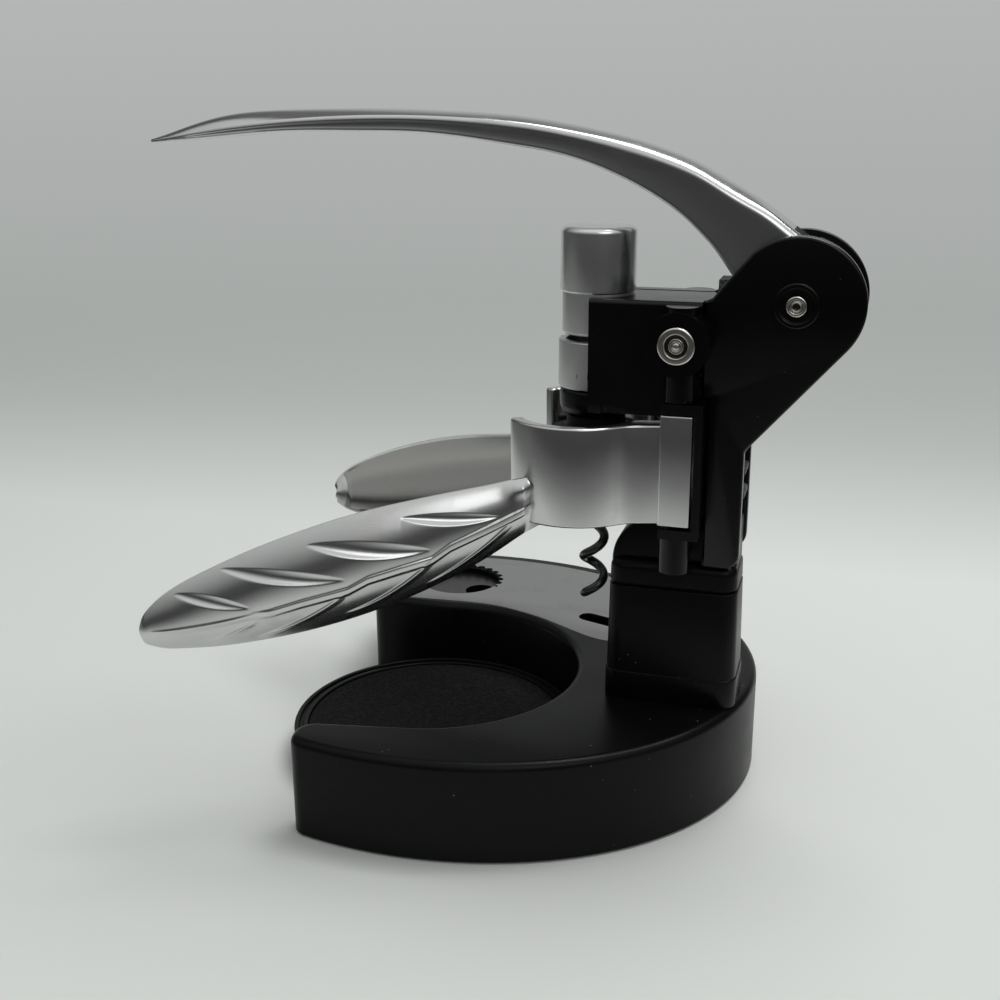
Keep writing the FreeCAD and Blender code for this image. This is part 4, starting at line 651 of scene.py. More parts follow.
# %% Outlines in the top
INLAY_NEAR = [
    (-55.5, 43.2), (-40.0, 44.2), (-28.2, 44.8), (-17.9, 43.9), (-10.4, 41.4), (-3.2, 38.3),
    (4.4, 33.8), (11.8, 29.4), (17.0, 27.0), (24.0, 26.0), (36.0, 25.8), (46.0, 28.0),
]
INLAY_MARGIN, INLAY_TOP, INLAY_THICK = 5.0, 28.15, 0.9
RECESS = (-37.5, 63.3, 13.2)
RECESS_FLOOR, FINGER_FLOOR, SLOT_FLOOR = 25.6, 23.2, 16.0
FINGER = (-29.9, 61.3, 5.0)
SLOT_ENDS, SLOT_HALF = np.array([[11.5, 42.5], [23.0, 38.5]]), 3.0
SCALLOPS, SCALLOP_RADIUS, SCALLOP_STEPS = 24, 1.3, 12
SCALLOPS_FROM, SCALLOPS_TO = radians(-15), radians(195)


def inlay_outline(grow=0.0):
    """The inlay's plan: a smooth near edge, then the oval's line on the far side."""
    knots = np.array(INLAY_NEAR)
    run = np.concatenate([[0], np.cumsum(np.linalg.norm(np.diff(knots, axis=0), axis=1))])
    near = smooth_line(np.column_stack([run, knots]), np.linspace(0, run[-1], 90))
    far = oval(np.radians(np.linspace(22.0, 119.5, 90)), INLAY_MARGIN)
    whole = np.concatenate([near, far])
    return inset(whole, -grow) if grow else whole


def slot_outline(half):
    """A straight slot with round ends."""
    along = SLOT_ENDS[1] - SLOT_ENDS[0]
    heading = np.degrees(np.arctan2(along[1], along[0]))
    return np.concatenate([
        arc(*SLOT_ENDS[1], half, heading - 90, heading + 90, 14),
        arc(*SLOT_ENDS[0], half, heading + 90, heading + 270, 14),
    ])


def scalloped(x, y, radius, teeth, tooth):
    """A circle with round bites on its far side: the larger of the circle and each bite's
    own radius, r = d cos(a) + sqrt(t^2 - d^2 sin(a)^2) near a bite's centre, d out."""
    steps = teeth * SCALLOP_STEPS
    a = np.arange(steps) * 2 * pi / steps
    near = (a + pi / teeth) % (2 * pi / teeth) - pi / teeth
    inside = tooth ** 2 - (radius * np.sin(near)) ** 2
    bite = radius * np.cos(near) + np.sqrt(np.maximum(inside, 0))
    on_far = (a - SCALLOPS_FROM) % (2 * pi) < SCALLOPS_TO - SCALLOPS_FROM
    reach = np.where((inside > 0) & on_far, np.maximum(bite, radius), radius)
    return np.stack([x + reach * np.cos(a), y + reach * np.sin(a)], -1)


# %% The shell
TOP_ROUND = 2.2
SEAT_PLAY, SEAT = 0.12, INLAY_TOP - INLAY_THICK - 0.02
ROOF_LOW = 13.0
FOOT_IN, FOOT_OUT = 0.3, 0.4
rows = [
    (WALL, ROOF_LOW), (WALL, BASE_LOW + FOOT_IN), (WALL - FOOT_IN, BASE_LOW), (FOOT_OUT, BASE_LOW),
    (0.0, BASE_LOW + FOOT_OUT), (0.0, 8.0), (0.0, 17.0),
]
rows += [(i, BASE_TOP - drop) for i, drop in quarter(TOP_ROUND, 8)]
skin = np.stack([upright(plan(gap), z) for gap, z in rows])
seat_edge, slot_edge = inlay_outline(SEAT_PLAY), slot_outline(SLOT_HALF)
recess_edge, finger_edge = circle(*RECESS, 96), circle(*FINGER, 40)
walls = [
    (seat_edge, BASE_TOP, SEAT), (recess_edge, SEAT, RECESS_FLOOR),
    (finger_edge, RECESS_FLOOR, FINGER_FLOOR), (slot_edge, SEAT, SLOT_FLOOR),
]
parts = [grid(skin, around=True), lid(skin[-1], [upright(seat_edge, BASE_TOP)]), lid(skin[0])]
parts += [grid(np.stack([upright(edge, z0), upright(edge, z1)]), around=True) for edge, z0, z1 in walls]
parts += [
    lid(upright(seat_edge, SEAT), [upright(recess_edge, SEAT), upright(slot_edge, SEAT)]),
    lid(upright(recess_edge, RECESS_FLOOR), [upright(finger_edge, RECESS_FLOOR)]),
    lid(upright(finger_edge, FINGER_FLOOR)), lid(upright(slot_edge, SLOT_FLOOR)),
]
shell = piece("stand_shell", parts, "stand", "black_shell", "base_shell")
centres = per_face(shell.data, "center") / MM
in_recess = np.hypot(*(centres[:, :2] - RECESS[:2]).T) < RECESS[2]
# The recess floor gets painted shade: a much darker copy of the inlay's metal.
second_finish(shell, "recess_painted_shade", in_recess & np.isclose(centres[:, 2], RECESS_FLOOR, atol=0.01))

# %% The inlay plate
holes = [scalloped(*RECESS, SCALLOPS, SCALLOP_RADIUS), slot_edge]
parts = slab(inlay_outline(), INLAY_TOP - INLAY_THICK, INLAY_TOP, 0.05, 0.2, holes)
piece("inlay", parts, "stand", "satin_inlay", "inlay_plate")

# %% [markdown]
# ### The coaster
# The coaster is a turned disc: two low rims with a groove between, and a well that
# holds the foam mat. Its profile is a polyline whose corners are rounded before it
# spins. The mat is a plain disc with a small rounded edge; its crumbs and pits come
# from the foam's finish.

# %% Coaster and mat
COASTER, COASTER_LOW, COASTER_TOP = 41.35, 2.65, 9.75
MAT, MAT_TOP = 37.25, 9.05
outer_rim, groove, inner_rim = COASTER - 1.5, COASTER - 2.5, COASTER - 4.0
groove_low, inner_top, well = COASTER_TOP - 0.9, COASTER_TOP - 0.2, COASTER_TOP - 2.2
profile = rounded(
    [(COASTER, COASTER_LOW), (COASTER, COASTER_TOP), (outer_rim, COASTER_TOP), (outer_rim, groove_low),
     (groove, groove_low), (groove, inner_top), (inner_rim, inner_top), (inner_rim, well), (0.0, well),
     (0.0, COASTER_LOW)],
    [0.3, 0.5, 0.4, 0.2, 0.2, 0.35, 0.4, 0.2, 0, 0], 5)
parts = turned(profile, (BITE_X, 0, 0), steps=144, closed=True)
piece("coaster", parts, "stand", "black_shell", "coaster_disc")
profile = rounded([(0, well), (MAT, well), (MAT, MAT_TOP), (0, MAT_TOP)], [0, 0, 0.45, 0], 5, closed=False)
piece("coaster_foam", turned(profile, (BITE_X, 0, 0), steps=144), "stand", "foam", "coaster_mat")

# %% [markdown]
# ### The post
# The post is a moulding with a slight taper, a collar at its foot, and a cap whose
# shoulders are rounded and carry an upright tongue. Each level is a rounded rectangle,
# so body, collar and shoulders are rows of one function of height.

# %% Post
POST_X, POST_HALF, POST_CORNER = (27.6, 62.2), 10.1, 4.5
POST_TOP, POST_HEIGHT, DRAFT = 60.3, 32.3, 0.6
COLLAR_OUT, COLLAR_TOP, SHOULDER = 0.3, 36.0, 67.6
TONGUE_HALF, TONGUE_X, TONGUE_TOP, NOSE = 6.6, (28.3, 61.3), 79.0, 12.6


def post_ring(grow, z):
    """The post's rounded rectangle at a height: it widens downwards by the draft."""
    out = grow + DRAFT * (POST_TOP - z) / POST_HEIGHT - DRAFT / 2
    x0, x1, half = POST_X[0] - out, POST_X[1] + out, POST_HALF + out
    ring = rounded([(x0, -half), (x1, -half), (x1, half), (x0, half)], max(POST_CORNER + out, 0.4), 10)
    return upright(ring, z)


def stacked(rows):
    """A closed body from rows of (growth, height) of the post's outline."""
    skin = np.stack([post_ring(grow, z) for grow, z in rows])
    return [grid(skin, around=True), lid(skin[0]), lid(skin[-1])]


body_rows = [(0.0, BASE_TOP), (0.0, 44.0)] + [(-i, POST_TOP - drop) for i, drop in quarter(0.35)]
piece("post", stacked(body_rows), "stand", "black_shell", "post_body")
collar_rows = [(0.1, BASE_TOP + 0.02), (COLLAR_OUT, BASE_TOP + 0.4)]
collar_rows += [(COLLAR_OUT - i, COLLAR_TOP - drop) for i, drop in quarter(0.35, 4)] + [(-0.2, COLLAR_TOP)]
piece("post_foot", stacked(collar_rows), "stand", "black_shell", "post_collar")
seam = POST_TOP + 0.6
cap_rows = [(-1.0, POST_TOP), (-1.0, seam), (-0.4, seam), (-0.2, seam + 0.15), (-0.1, seam + 0.3)]
cap_rows += [(-0.1 - i, SHOULDER - drop) for i, drop in quarter(2.6, 8)]
tongue_low, (front, back) = SHOULDER - 3, TONGUE_X
nose = rounded([(front, tongue_low), (back, tongue_low), (back, TONGUE_TOP), (front, TONGUE_TOP)],
               [0, 0, 1.5, NOSE], 16)
tongue = slab(nose, -TONGUE_HALF, TONGUE_HALF, 1.2, 1.2, place=sideways)
piece("post_head", stacked(cap_rows) + tongue, "stand", "black_shell", "post_cap")


# %% [markdown]
# ## The frame that carries the lever
# Two side plates hold the hub. Each is a flat slab with a round disc at the top, a
# sloping back and a straight tail. The disc's bevelled rim catches the light, so it is
# modelled as a real bevel. Rivets and bosses are turned parts on a sideways axis.

# %% Side plates
HUB = np.array([72.6, 136.3])
DISC = 16.3
REAR, FRONT = -41.0, 133.0
TAIL_FRONT, TAIL_BACK, TAIL_LOW = 52.5, 62.0, 67.8
CHEEK_FRONT, CHEEK_LOW = 50.6, 112.3
PLATE_OUT, PLATE_IN = 10.7, 7.7
disc = arc(*HUB, DISC, REAR, FRONT, 72)
knee = disc[0, 1] + (disc[0, 0] - TAIL_BACK) / np.tan(radians(REAR))
side_outline = np.concatenate([
    rounded(
        [disc[-1], (55.0, 140.4), (52.5, 137.3), (CHEEK_FRONT, 136.4), (CHEEK_FRONT, CHEEK_LOW),
         (TAIL_FRONT, CHEEK_LOW), (TAIL_FRONT, TAIL_LOW), (TAIL_BACK, TAIL_LOW), (TAIL_BACK, knee), disc[0]],
        [0, 2.0, 1.0, 0.3, 0.3, 0.3, 0.6, 4.0, 2.5, 0], 6, closed=False)[:-1],
    disc[:-1],
])
boss = rounded([(0.0, 9.0), (5.5, 9.0), (5.5, 12.1), (4.4, 12.1), (3.9, 11.7), (0.0, 11.7)],
               [0, 0, 0.45, 0.3, 0.2, 0], 5, closed=False)
boss[:, 1] *= -1
near_plate = slab(side_outline, -PLATE_OUT, -PLATE_IN, 0.75, 0.3, place=sideways) + turned(
    boss, (HUB[0], 0, HUB[1]), "y", 72)
piece("near_plate", near_plate, "frame", "black_frame", "near_side_plate")
piece("far_plate", mirrored(near_plate), "frame", "black_frame", "far_side_plate")

# %% [markdown]
# ### Block, brackets and carrier arm
# These have many small steps and pockets, and the frame already holds them exactly.
# A merged copy with a fine bevel on its sharp edges is the quickest honest way: the
# size stays, and the edges catch light as cast edges do.

# %% Softened copies
softened("front_block", "block", "frame", "black_frame", 0.45, 3)
softened("near_clamp_bracket", "near_bracket", "frame", "black_frame", 0.3)
softened("far_clamp_bracket", "far_bracket", "frame", "black_frame", 0.3)
softened("carrier_arm", "carrier", "carriage", "black_frame", 0.5, 3)
softened("rack", "toothed_rack", "carriage", "gear_steel", 0.25)

# %% [markdown]
# ### Rivets
# The large side rivet has a stepped nickel head: an outer band, a groove, an inner
# ring and a small dome. The axle's end is smaller, with a hollow centre.

# %% Rivets and axle
SIDE_BOSS = (45.6, 127.0)
rivet = [(0, 14.2), (2.5, 14.2), (2.5, 20.0), (4.6, 20.0), (4.6, 21.3), (3.0, 21.3), (2.6, 20.7),
         (2.1, 20.7), (1.8, 21.1), (1.25, 21.1), (1.0, 20.8), (0.85, 21.45), (0.0, 21.7)]
soft = [0, 0, 0, 0.1, 0.5, 0.25, 0.1, 0.1, 0.15, 0.15, 0.05, 0.3, 0]
head = rounded(rivet, soft, 5, closed=False) * [1, -1]
near_rivet = turned(head, (SIDE_BOSS[0], 0, SIDE_BOSS[1]), "y", 64)
piece("side_rivet_heads", near_rivet + mirrored(near_rivet), "frame", "rivet_nickel", "side_rivets")
end = [(0.0, 12.2), (0.75, 12.2), (0.95, 12.75), (1.3, 12.85), (1.55, 12.6), (1.8, 12.95),
       (2.5, 12.95), (2.5, 0.0)]
end = rounded(end, [0, 0.2, 0.15, 0.1, 0.1, 0.1, 0.35, 0], 4, closed=False)
axle = np.concatenate([end * [1, -1], end[::-1][1:]])
piece("axle", turned(axle, (HUB[0], 0, HUB[1]), "y", 48), "frame", "rivet_nickel", "hub_axle")

# %% [markdown]
# ### The stack under the cap
# Cap, sleeve, guide ring, bush and neck stop share the worm's axis. They are turned
# from profiles; the guide ring is open at its top like a cup.

# %% Turned parts on the worm's axis
AXIS = (22.0, 0.0, 0.0)


def ring(name, corners, radii, body, slot, node, steps=96):
    """Turns a closed, rounded profile on the worm's axis and makes it a piece."""
    piece(name, turned(rounded(corners, radii), AXIS, "z", steps, closed=True), body, slot, node)


ring("guide_cup",
     [(4.6, 112.2), (10, 112.2), (10, 124.6), (8, 124.6), (8, 122.1), (4.6, 122.1)],
     [0.2, 0.5, 0.35, 0.3, 0.3, 0.3], "frame", "satin_ring", "guide_ring")
ring("bush",
     [(4.6, 104.8), (7.6, 104.8), (8.9, 105.7), (9.6, 107.2), (9.6, 112.15), (4.6, 112.15)],
     [0.2, 0.6, 0.8, 1.2, 1.3, 0.2], "frame", "black_bush", "neck_bulb")
ring("lip_stop",
     [(4.6, 97.0), (12.8, 97.0), (12.8, 99.6), (11.8, 100.5), (7.7, 101.4), (7.7, 104.75), (4.6, 104.75)],
     [0.2, 0.6, 0.5, 0.8, 1.2, 0.3, 0.2], "frame", "soft_stop", "neck_stop")
ring("bearing_sleeve",
     [(5.4, 126.0), (9.1, 126.0), (9.1, 136.9), (8.2, 136.9), (8.2, 139.0), (5.4, 139.0)],
     [0.2, 0.9, 0.25, 0.1, 0.2, 0.2], "carriage", "satin_ring", "sleeve")
ring("top_cap",
     [(8.22, 136.95), (9.7, 136.95), (9.7, 153.2), (0, 153.2), (0, 144.6), (8.22, 144.6)],
     [0.15, 0.35, 1.6, 0, 0, 0.3], "carriage", "polished_cap", "cap", steps=128)

# %% [markdown]
# ### The worm
# An open helix of round wire, right-handed, drawn out to a point: a tube carried along
# (R cos t, R sin t, pitch t / 2 pi). The last part of the wire thins to the tip, and
# its path closes in towards the axis a little, as a ground point does.

# %% Worm
COIL, WIRE, PITCH_MM, TIP_Z, ROOT_Z, START = 2.75, 1.25, 11.2, 54.8, 126.8, radians(241)
POINT, CLOSING, BLUNT = 1.5, 0.12, 0.08
TURNS = (ROOT_Z - TIP_Z) / PITCH_MM
t = np.concatenate([np.linspace(-POINT, 0, 16)[:-1], np.linspace(0, TURNS * 2 * pi, 520)])
before = np.maximum(-t, 0)
coil, angle = COIL * (1 - CLOSING * before ** 2), t + START
level = TIP_Z + PITCH_MM * t / (2 * pi)
path = np.stack([AXIS[0] + coil * np.cos(angle), coil * np.sin(angle), level], -1)
thick = np.sin(pi / 2 * (1 - before / POINT) + BLUNT * before / POINT) * WIRE
shank = rounded([(0, 126.2), (4.6, 126.2), (4.6, 140.15), (7.0, 140.15), (7.0, 143.4), (0, 143.4)],
                [0, 0.3, 0.1, 0.2, 0.2, 0], 3, closed=False)
piece("worm_coil", tube(path, thick, 24) + turned(shank, AXIS, "z", 48), "worm", "black_worm", "worm")


# %% [markdown]
# ## The lever
# A long blade, domed along its top and flat on its flanks, that thins to a point. The
# side view gives a top line and a bottom line; a section stands between each pair of
# their points. It runs once round: over the crown, round the shoulder, down the flank
# and back under. Past the root the two lines follow the drum on the axle and meet at
# its back. The room for the pinion and the rack is then cut with a Boolean, which is
# simpler than a section that splits in two.

# %% Lever lines
LEVER = np.array([  # distance along x, crown, shoulder, underside, half width
    (-103.4, 173.8, 173.5, 172.9, 0.8), (-96.0, 175.9, 174.5, 173.2, 3.3),
    (-80.0, 180.0, 176.8, 174.4, 5.8), (-60.0, 181.4, 179.0, 175.8, 7.6),
    (-40.0, 181.6, 180.1, 175.9, 8.5), (-20.0, 181.1, 180.0, 175.4, 8.7),
    (0.0, 179.8, 178.7, 172.9, 8.5), (15.0, 177.6, 176.5, 170.2, 8.1),
    (30.0, 174.4, 173.3, 164.7, 7.7), (42.0, 170.6, 169.5, 157.8, 7.35),
    (48.0, 168.0, 166.9, 152.7, 7.3),
])
ROOT_TOP = [(51.8, 165.9), (58.8, 162.0), (65.7, 157.5)]
ROOT_LOW = [(51.2, 149.5), (54.6, 145.2), (57.3, 141.6)]
DRUM, DRUM_CROWN, LEAST_CROWN = 15.2, 0.35, 0.12
top_knots = np.concatenate([LEVER[:, [0, 1]], ROOT_TOP, arc(*HUB, DRUM, 85, -44, 13)])
low_knots = np.concatenate([LEVER[:, [0, 3]], ROOT_LOW, arc(*HUB, DRUM, 163, 304, 13)])
knot_at = np.arange(len(top_knots), dtype=float)
given_at = np.arange(len(LEVER))
halves = np.interp(knot_at, given_at, LEVER[:, 4])
crowns = np.interp(knot_at, given_at, LEVER[:, 1] - LEVER[:, 2])
crowns[len(LEVER) + 2:] = DRUM_CROWN

# %% Lever surface
EDGE, EDGE_SHARE, FOOT, FOOT_SHARE = 2.3, 0.24, 0.7, 0.25
CROWN_POWER, FLANK_HOLLOW, TIP_OUT = 2.2, 0.15, 0.25
fine = np.concatenate([np.linspace(0, 2, 26)[:-1], np.linspace(2, knot_at[-1], 230)])
lines = smooth_line(np.column_stack([knot_at, top_knots, low_knots, halves, crowns]), fine)
top, low, half, crown = lines[:, 0:2], lines[:, 2:4], lines[:, 4:5], np.maximum(lines[:, 5:6], LEAST_CROWN)
height = np.linalg.norm(top - low, axis=1)[:, None]
down = (low - top) / np.maximum(height, 1e-6)
edge = np.minimum(EDGE, height * EDGE_SHARE)
foot = np.minimum(FOOT, height * FOOT_SHARE)
lean = np.arctan(CROWN_POWER * crown / np.maximum(half - 0.7 * edge, 0.3))
crown_end = half - edge * (1 - np.sin(lean))

over_crown = np.linspace(0, 1, 22)
over = lean + (pi / 2 - lean) * np.linspace(0, 1, 10)[1:]
down_flank = np.linspace(0, 1, 12)[1:]
under = np.linspace(0, pi / 2, 5)[1:]
back_under = np.linspace(0, 1, 8)[1:]
shoulder_drop = crown + edge * (np.cos(lean) - np.cos(over))
flank_top, flank_low = shoulder_drop[:, -1:], height - foot
stretches = [  # half width and drop below the crown of each stretch of the section
    (crown_end * over_crown, crown * over_crown ** CROWN_POWER),
    (crown_end + edge * (np.sin(over) - np.sin(lean)), shoulder_drop),
    (half - FLANK_HOLLOW * np.sin(pi * down_flank), flank_top + (flank_low - flank_top) * down_flank),
    (half - foot * (1 - np.cos(under)), flank_low + foot * np.sin(under)),
    ((half - foot) * (1 - back_under), np.broadcast_to(height, (len(height), len(back_under)))),
]
near_y, drop = (np.concatenate(values, axis=1) for values in zip(*stretches))
drop = np.minimum(drop, height)
x, z = (top[:, [k]] + down[:, [k]] * drop for k in (0, 1))
side = np.stack([x, -near_y, z], -1)
blade = np.concatenate([side, side[:, -2:0:-1] * [1, -1, 1]], axis=1)
tip_ring = np.broadcast_to(blade[:1].mean(1, keepdims=True) - [TIP_OUT, 0, 0], blade[:1].shape)
back_ring = np.broadcast_to(blade[-1:].mean(1, keepdims=True), blade[:1].shape)
lever_mesh = make_mesh("lever_blade", [grid(np.concatenate([tip_ring, blade, back_ring]), around=True)])

# %% [markdown]
# ### Cutting the fork
# The lever's root is a fork: between its cheeks turn the pinion and, in front of it,
# the rack slides by. The cutter is a slab, as wide as the gap, with the outline of the
# pinion's room and the rack's way joined; an exact Boolean takes it out.

# %% Fork
FORK_HALF = 4.7
room_outline = np.concatenate([
    [(70.6, 110.0), (95.0, 110.0), (95.0, 165.0), (70.6, 165.0), (70.6, 151.0)],
    arc(*HUB, 14.8, 97, 131, 11),
    [(62.9, 142.4), (44.0, 142.4), (44.0, 110.0)],
])
cutter_mesh = make_mesh("fork_room", slab(room_outline, -FORK_HALF, FORK_HALF, 0, 0, place=sideways))


def cut(mesh, cutter, name):
    """The first mesh less the second, as a new mesh."""
    holder, tool = placed(name, mesh), placed(name + "_tool", cutter)
    step = holder.modifiers.new("cut", "BOOLEAN")
    step.operation, step.object, step.solver = "DIFFERENCE", tool, "EXACT"
    result = bpy.data.meshes.new_from_object(holder.evaluated_get(bpy.context.evaluated_depsgraph_get()))
    for made in (holder, tool):
        bpy.data.objects.remove(made)
    result.name = name
    return shaded(result)


piece("lever_arm", cut(lever_mesh, cutter_mesh, "lever_arm"), "lever", "satin_casting", "lever")

# %% [markdown]
# ## The clamp handles
# Each handle is one casting in three parts: a curved jaw band that wraps the bottle's
# neck, a knuckle on its pin, and a leaf-shaped grip. The band is a slab whose plan is
# two arcs joined by round ends. The grip is a shell between an outer and an inner
# surface; both are functions of the run from the tip and of the height across.

# %% Jaw band and knuckle
PIN = np.array([46.0, -14.5])
JAW_X, JAW_IN, JAW_OUT, LEAD, LEAD_ROUND = AXIS[0], 15.4, 18.6, 197, 0.9
JAW_LOW, JAW_TOP = 80.6, 106.4
KNUCKLE, KNUCKLE_LOW, KNUCKLE_TOP = 4.0, JAW_LOW + 0.1, 109.4
OPEN = radians(17)
SPIN = np.array([[np.cos(OPEN), -np.sin(OPEN)], [np.sin(OPEN), np.cos(OPEN)]])


def opened(plan_points):
    """Turns closed-jaw plan points about the pin to the open rest place."""
    return (plan_points - PIN) @ SPIN.T + PIN


def on_band(radius, degrees):
    """A point of the closed band, on its inner or its outer circle."""
    return arc(JAW_X, 0, radius, degrees, degrees, 1)[0]


def bend(first, corner, last, radius, steps=6):
    """One corner of the plan, rounded, with both of its straight ends."""
    return rounded([first, corner, last], [0, radius, 0], steps, closed=False)


lead_in, lead_out = on_band(JAW_IN, LEAD), on_band(JAW_OUT, LEAD)
jaw_outline = opened(np.concatenate([
    bend(lead_in, lead_out, on_band(JAW_OUT, 205), LEAD_ROUND)[1:-1],
    arc(JAW_X, 0, JAW_OUT, 203, 293, 64),
    bend(on_band(JAW_OUT, 294), (33.5, -15.24), (41.8, -15.6), 9.0, 10),
    arc(*PIN, KNUCKLE, 200, 450, 44),
    bend((45.9, -10.6), (36.7, -9.2), (33.4, -10.3), 3.0)[1:-1],
    arc(JAW_X, 0, JAW_IN, 318, 199, 80),
    bend(on_band(JAW_IN, 199), lead_in, lead_out, LEAD_ROUND)[1:-1],
]))
jaw = slab(jaw_outline, JAW_LOW, JAW_TOP, 0.6, 0.6)
half_plate = KNUCKLE + 0.1
plate_corners = PIN + half_plate * np.array([(-1, -1), (1, -1), (1, 1), (-1, 1)])
plate_plan = rounded(plate_corners, [0.6, 0.6, 4, 4], 10)
knuckle = slab(plate_plan, KNUCKLE_LOW, KNUCKLE_TOP, 0.4, 0.5)
print("jaw outline points", len(jaw_outline))

# %% [markdown]
# ### The leaf
# The outer face of the grip is a leaf in low relief. Above the stem each vein is a
# gouge: a hollow that is steep at its lower lip, where it faces up and shines, and
# shallow at its upper edge. The leaf's face falls away slowly below the lip. The stem
# and the veins below it are narrow flat ribs. Each of them is a function of the signed
# distance from one curve, so the whole relief is worked out at once. At the root the
# face follows whichever is further out, leaf or jaw, with a soft corner between them.

# %% Leaf outline and relief
GRIP = np.array([  # run from the tip, upper edge, lower edge
    (0.0, 57.2, 55.2), (0.6, 59.0, 53.6), (2.0, 61.3, 52.3), (5.0, 64.2, 51.3), (10.0, 67.6, 50.8),
    (18.0, 71.6, 50.8), (28.0, 75.9, 51.6), (40.0, 80.2, 53.4), (54.0, 84.3, 56.7), (68.0, 87.2, 61.4),
    (80.0, 89.2, 66.7), (90.0, 90.8, 72.2), (97.0, 92.2, 76.9), (104.5, 93.6, 82.4),
])
TIP, ROOT = np.array([-81.0, -63.0]), np.array([8.0, -24.0])
GRIP_THICK, DISH, DISH_FROM, DISH_TO, DISH_SHARE = 2.6, 0.17, 4.5, 97, 0.93
run_along = (ROOT - TIP) / np.linalg.norm(ROOT - TIP)
outward = np.array([run_along[1], -run_along[0]])
GOUGES = [  # three points of the lower lip, as (run, level), then the width and the depth
    ((66.5, 83.6), (78.9, 81.6), (91.5, 83.2), 3.0, 0.50),
    ((42.7, 77.6), (56.0, 74.2), (73.7, 75.5), 4.4, 0.62),
    ((21.0, 72.0), (35.8, 68.3), (52.0, 68.8), 3.7, 0.55),
    ((9.2, 65.9), (18.2, 62.9), (28.0, 62.3), 3.1, 0.45),
]
RIBS = [  # three points of the middle line, then the half width and the height
    ((2.9, 55.9), (16.0, 57.6), (29.6, 60.3), 0.70, 0.28),
    ((16.1, 52.1), (23.5, 55.0), (29.7, 58.4), 0.65, 0.26),
    ((29.9, 52.9), (42.0, 58.0), (51.9, 64.5), 0.80, 0.36),
    ((51.6, 57.9), (64.0, 64.0), (74.1, 72.2), 0.90, 0.40),
    ((72.0, 64.6), (84.0, 72.0), (95.0, 81.5), 0.85, 0.34),
]
STEM = np.array([(29.8, 60.2), (32.9, 60.6), (41.0, 62.9), (52.6, 65.6), (57.8, 68.4), (66.0, 70.6),
                 (74.1, 72.6), (78.8, 75.9), (88.0, 79.8), (96.7, 83.6), (101.8, 86.2)])
LIP, LIP_FADE, RIB_SOFT = 0.28, 4.0, 0.22
STEM_HALF, STEM_HIGH = 1.0, 0.40


def ramp(value, start, end):
    """0 at the start, 1 at the end, straight between; the end may be the smaller."""
    return np.clip((value - start) / (end - start), 0, 1)


def through(points, x):
    """The parabola through three points, read at x: the sum over the points of
    y (x - x1) (x - x2) / ((x0 - x1) (x0 - x2)), x1 and x2 being the other two."""
    total = 0
    for k in range(3):
        (x0, y0), (x1, _), (x2, _) = points[k], points[k - 1], points[k - 2]
        total = total + y0 * (x - x1) * (x - x2) / ((x0 - x1) * (x0 - x2))
    return total


def taper(points, run, power):
    """0 at both ends of a vein, 1 at its middle: a power of the sine of its share."""
    return np.sin(pi * ramp(run, points[0][0], points[2][0])) ** power


def flat_rib(d, half_width):
    """A flat-topped rib across its own distance: two soft steps, one at each side."""
    return (1 + np.tanh((half_width - np.abs(d)) / RIB_SOFT)) / 2


def relief(run, level):
    """Height of the leaf's relief in mm at a run and a level on the grip. Across a gouge
    `share` goes from 0 at its lip to 1 at its upper edge; the hollow is 4 share (1 - share)
    of its depth, steeper at the lip. The face stands out at the lip and falls away below."""
    total = np.zeros_like(run)
    for *points, wide, deep in GOUGES:
        inside = taper(points, run, 0.75)
        d = level - through(points, run)
        share = np.clip((d + np.sqrt(d * d + 0.05)) / 2 / (wide * inside + 1e-6), 0, 1)
        total -= deep * inside * 4 * share * (1 - share) * (1.35 - 0.7 * share)
        total += LIP * inside * np.where(d > 0, (1 - share) ** 2, np.exp(np.minimum(d, 0) / LIP_FADE))
    for *points, wide, high in RIBS:
        inside = taper(points, run, 0.6)
        d = level - through(points, run)
        total += high * inside * flat_rib(d, wide)
        total += 0.10 * inside * np.exp(-np.maximum(d, 0) / 3.0) * (1 + np.tanh(d / 0.3))
    d = level - np.interp(run, STEM[:, 0], STEM[:, 1])
    return total + STEM_HIGH * ramp(run, 28, 34) * ramp(run, 101, 97) * flat_rib(d, STEM_HALF)


# %% Grip surface
FINE_END, ROOT_END = 11.664, 104.0
RIM, RIM_INSET, KNOT_RUN, KNOT_HIGH, ROOT_DIVE = 1.2, 0.98, 97.5, 1.3, 2.7
BULGE_BASE, LAND_BASE, SOFT_JOIN = 0.35, 0.25, 2.2
fine_rows = FINE_END * (1 - np.cos(np.linspace(0, pi / 2, 55)))
rows = np.concatenate([fine_rows, np.linspace(11.7, ROOT_END, 370)[1:]])
edges = smooth_line(GRIP, rows)
tall = (edges[:, 0] - edges[:, 1])[:, None]
middle_level = edges.mean(1)[:, None]
jaw_centre = opened(np.array([JAW_X, 0.0]))
from_centre = TIP + rows[:, None] * run_along - jaw_centre
beside = from_centre @ outward
room_left = beside ** 2 - (from_centre ** 2).sum(1) + JAW_OUT ** 2
jaw_off = np.where(room_left > 0, np.sqrt(np.maximum(room_left, 0)) - beside, -60.0)[:, None]


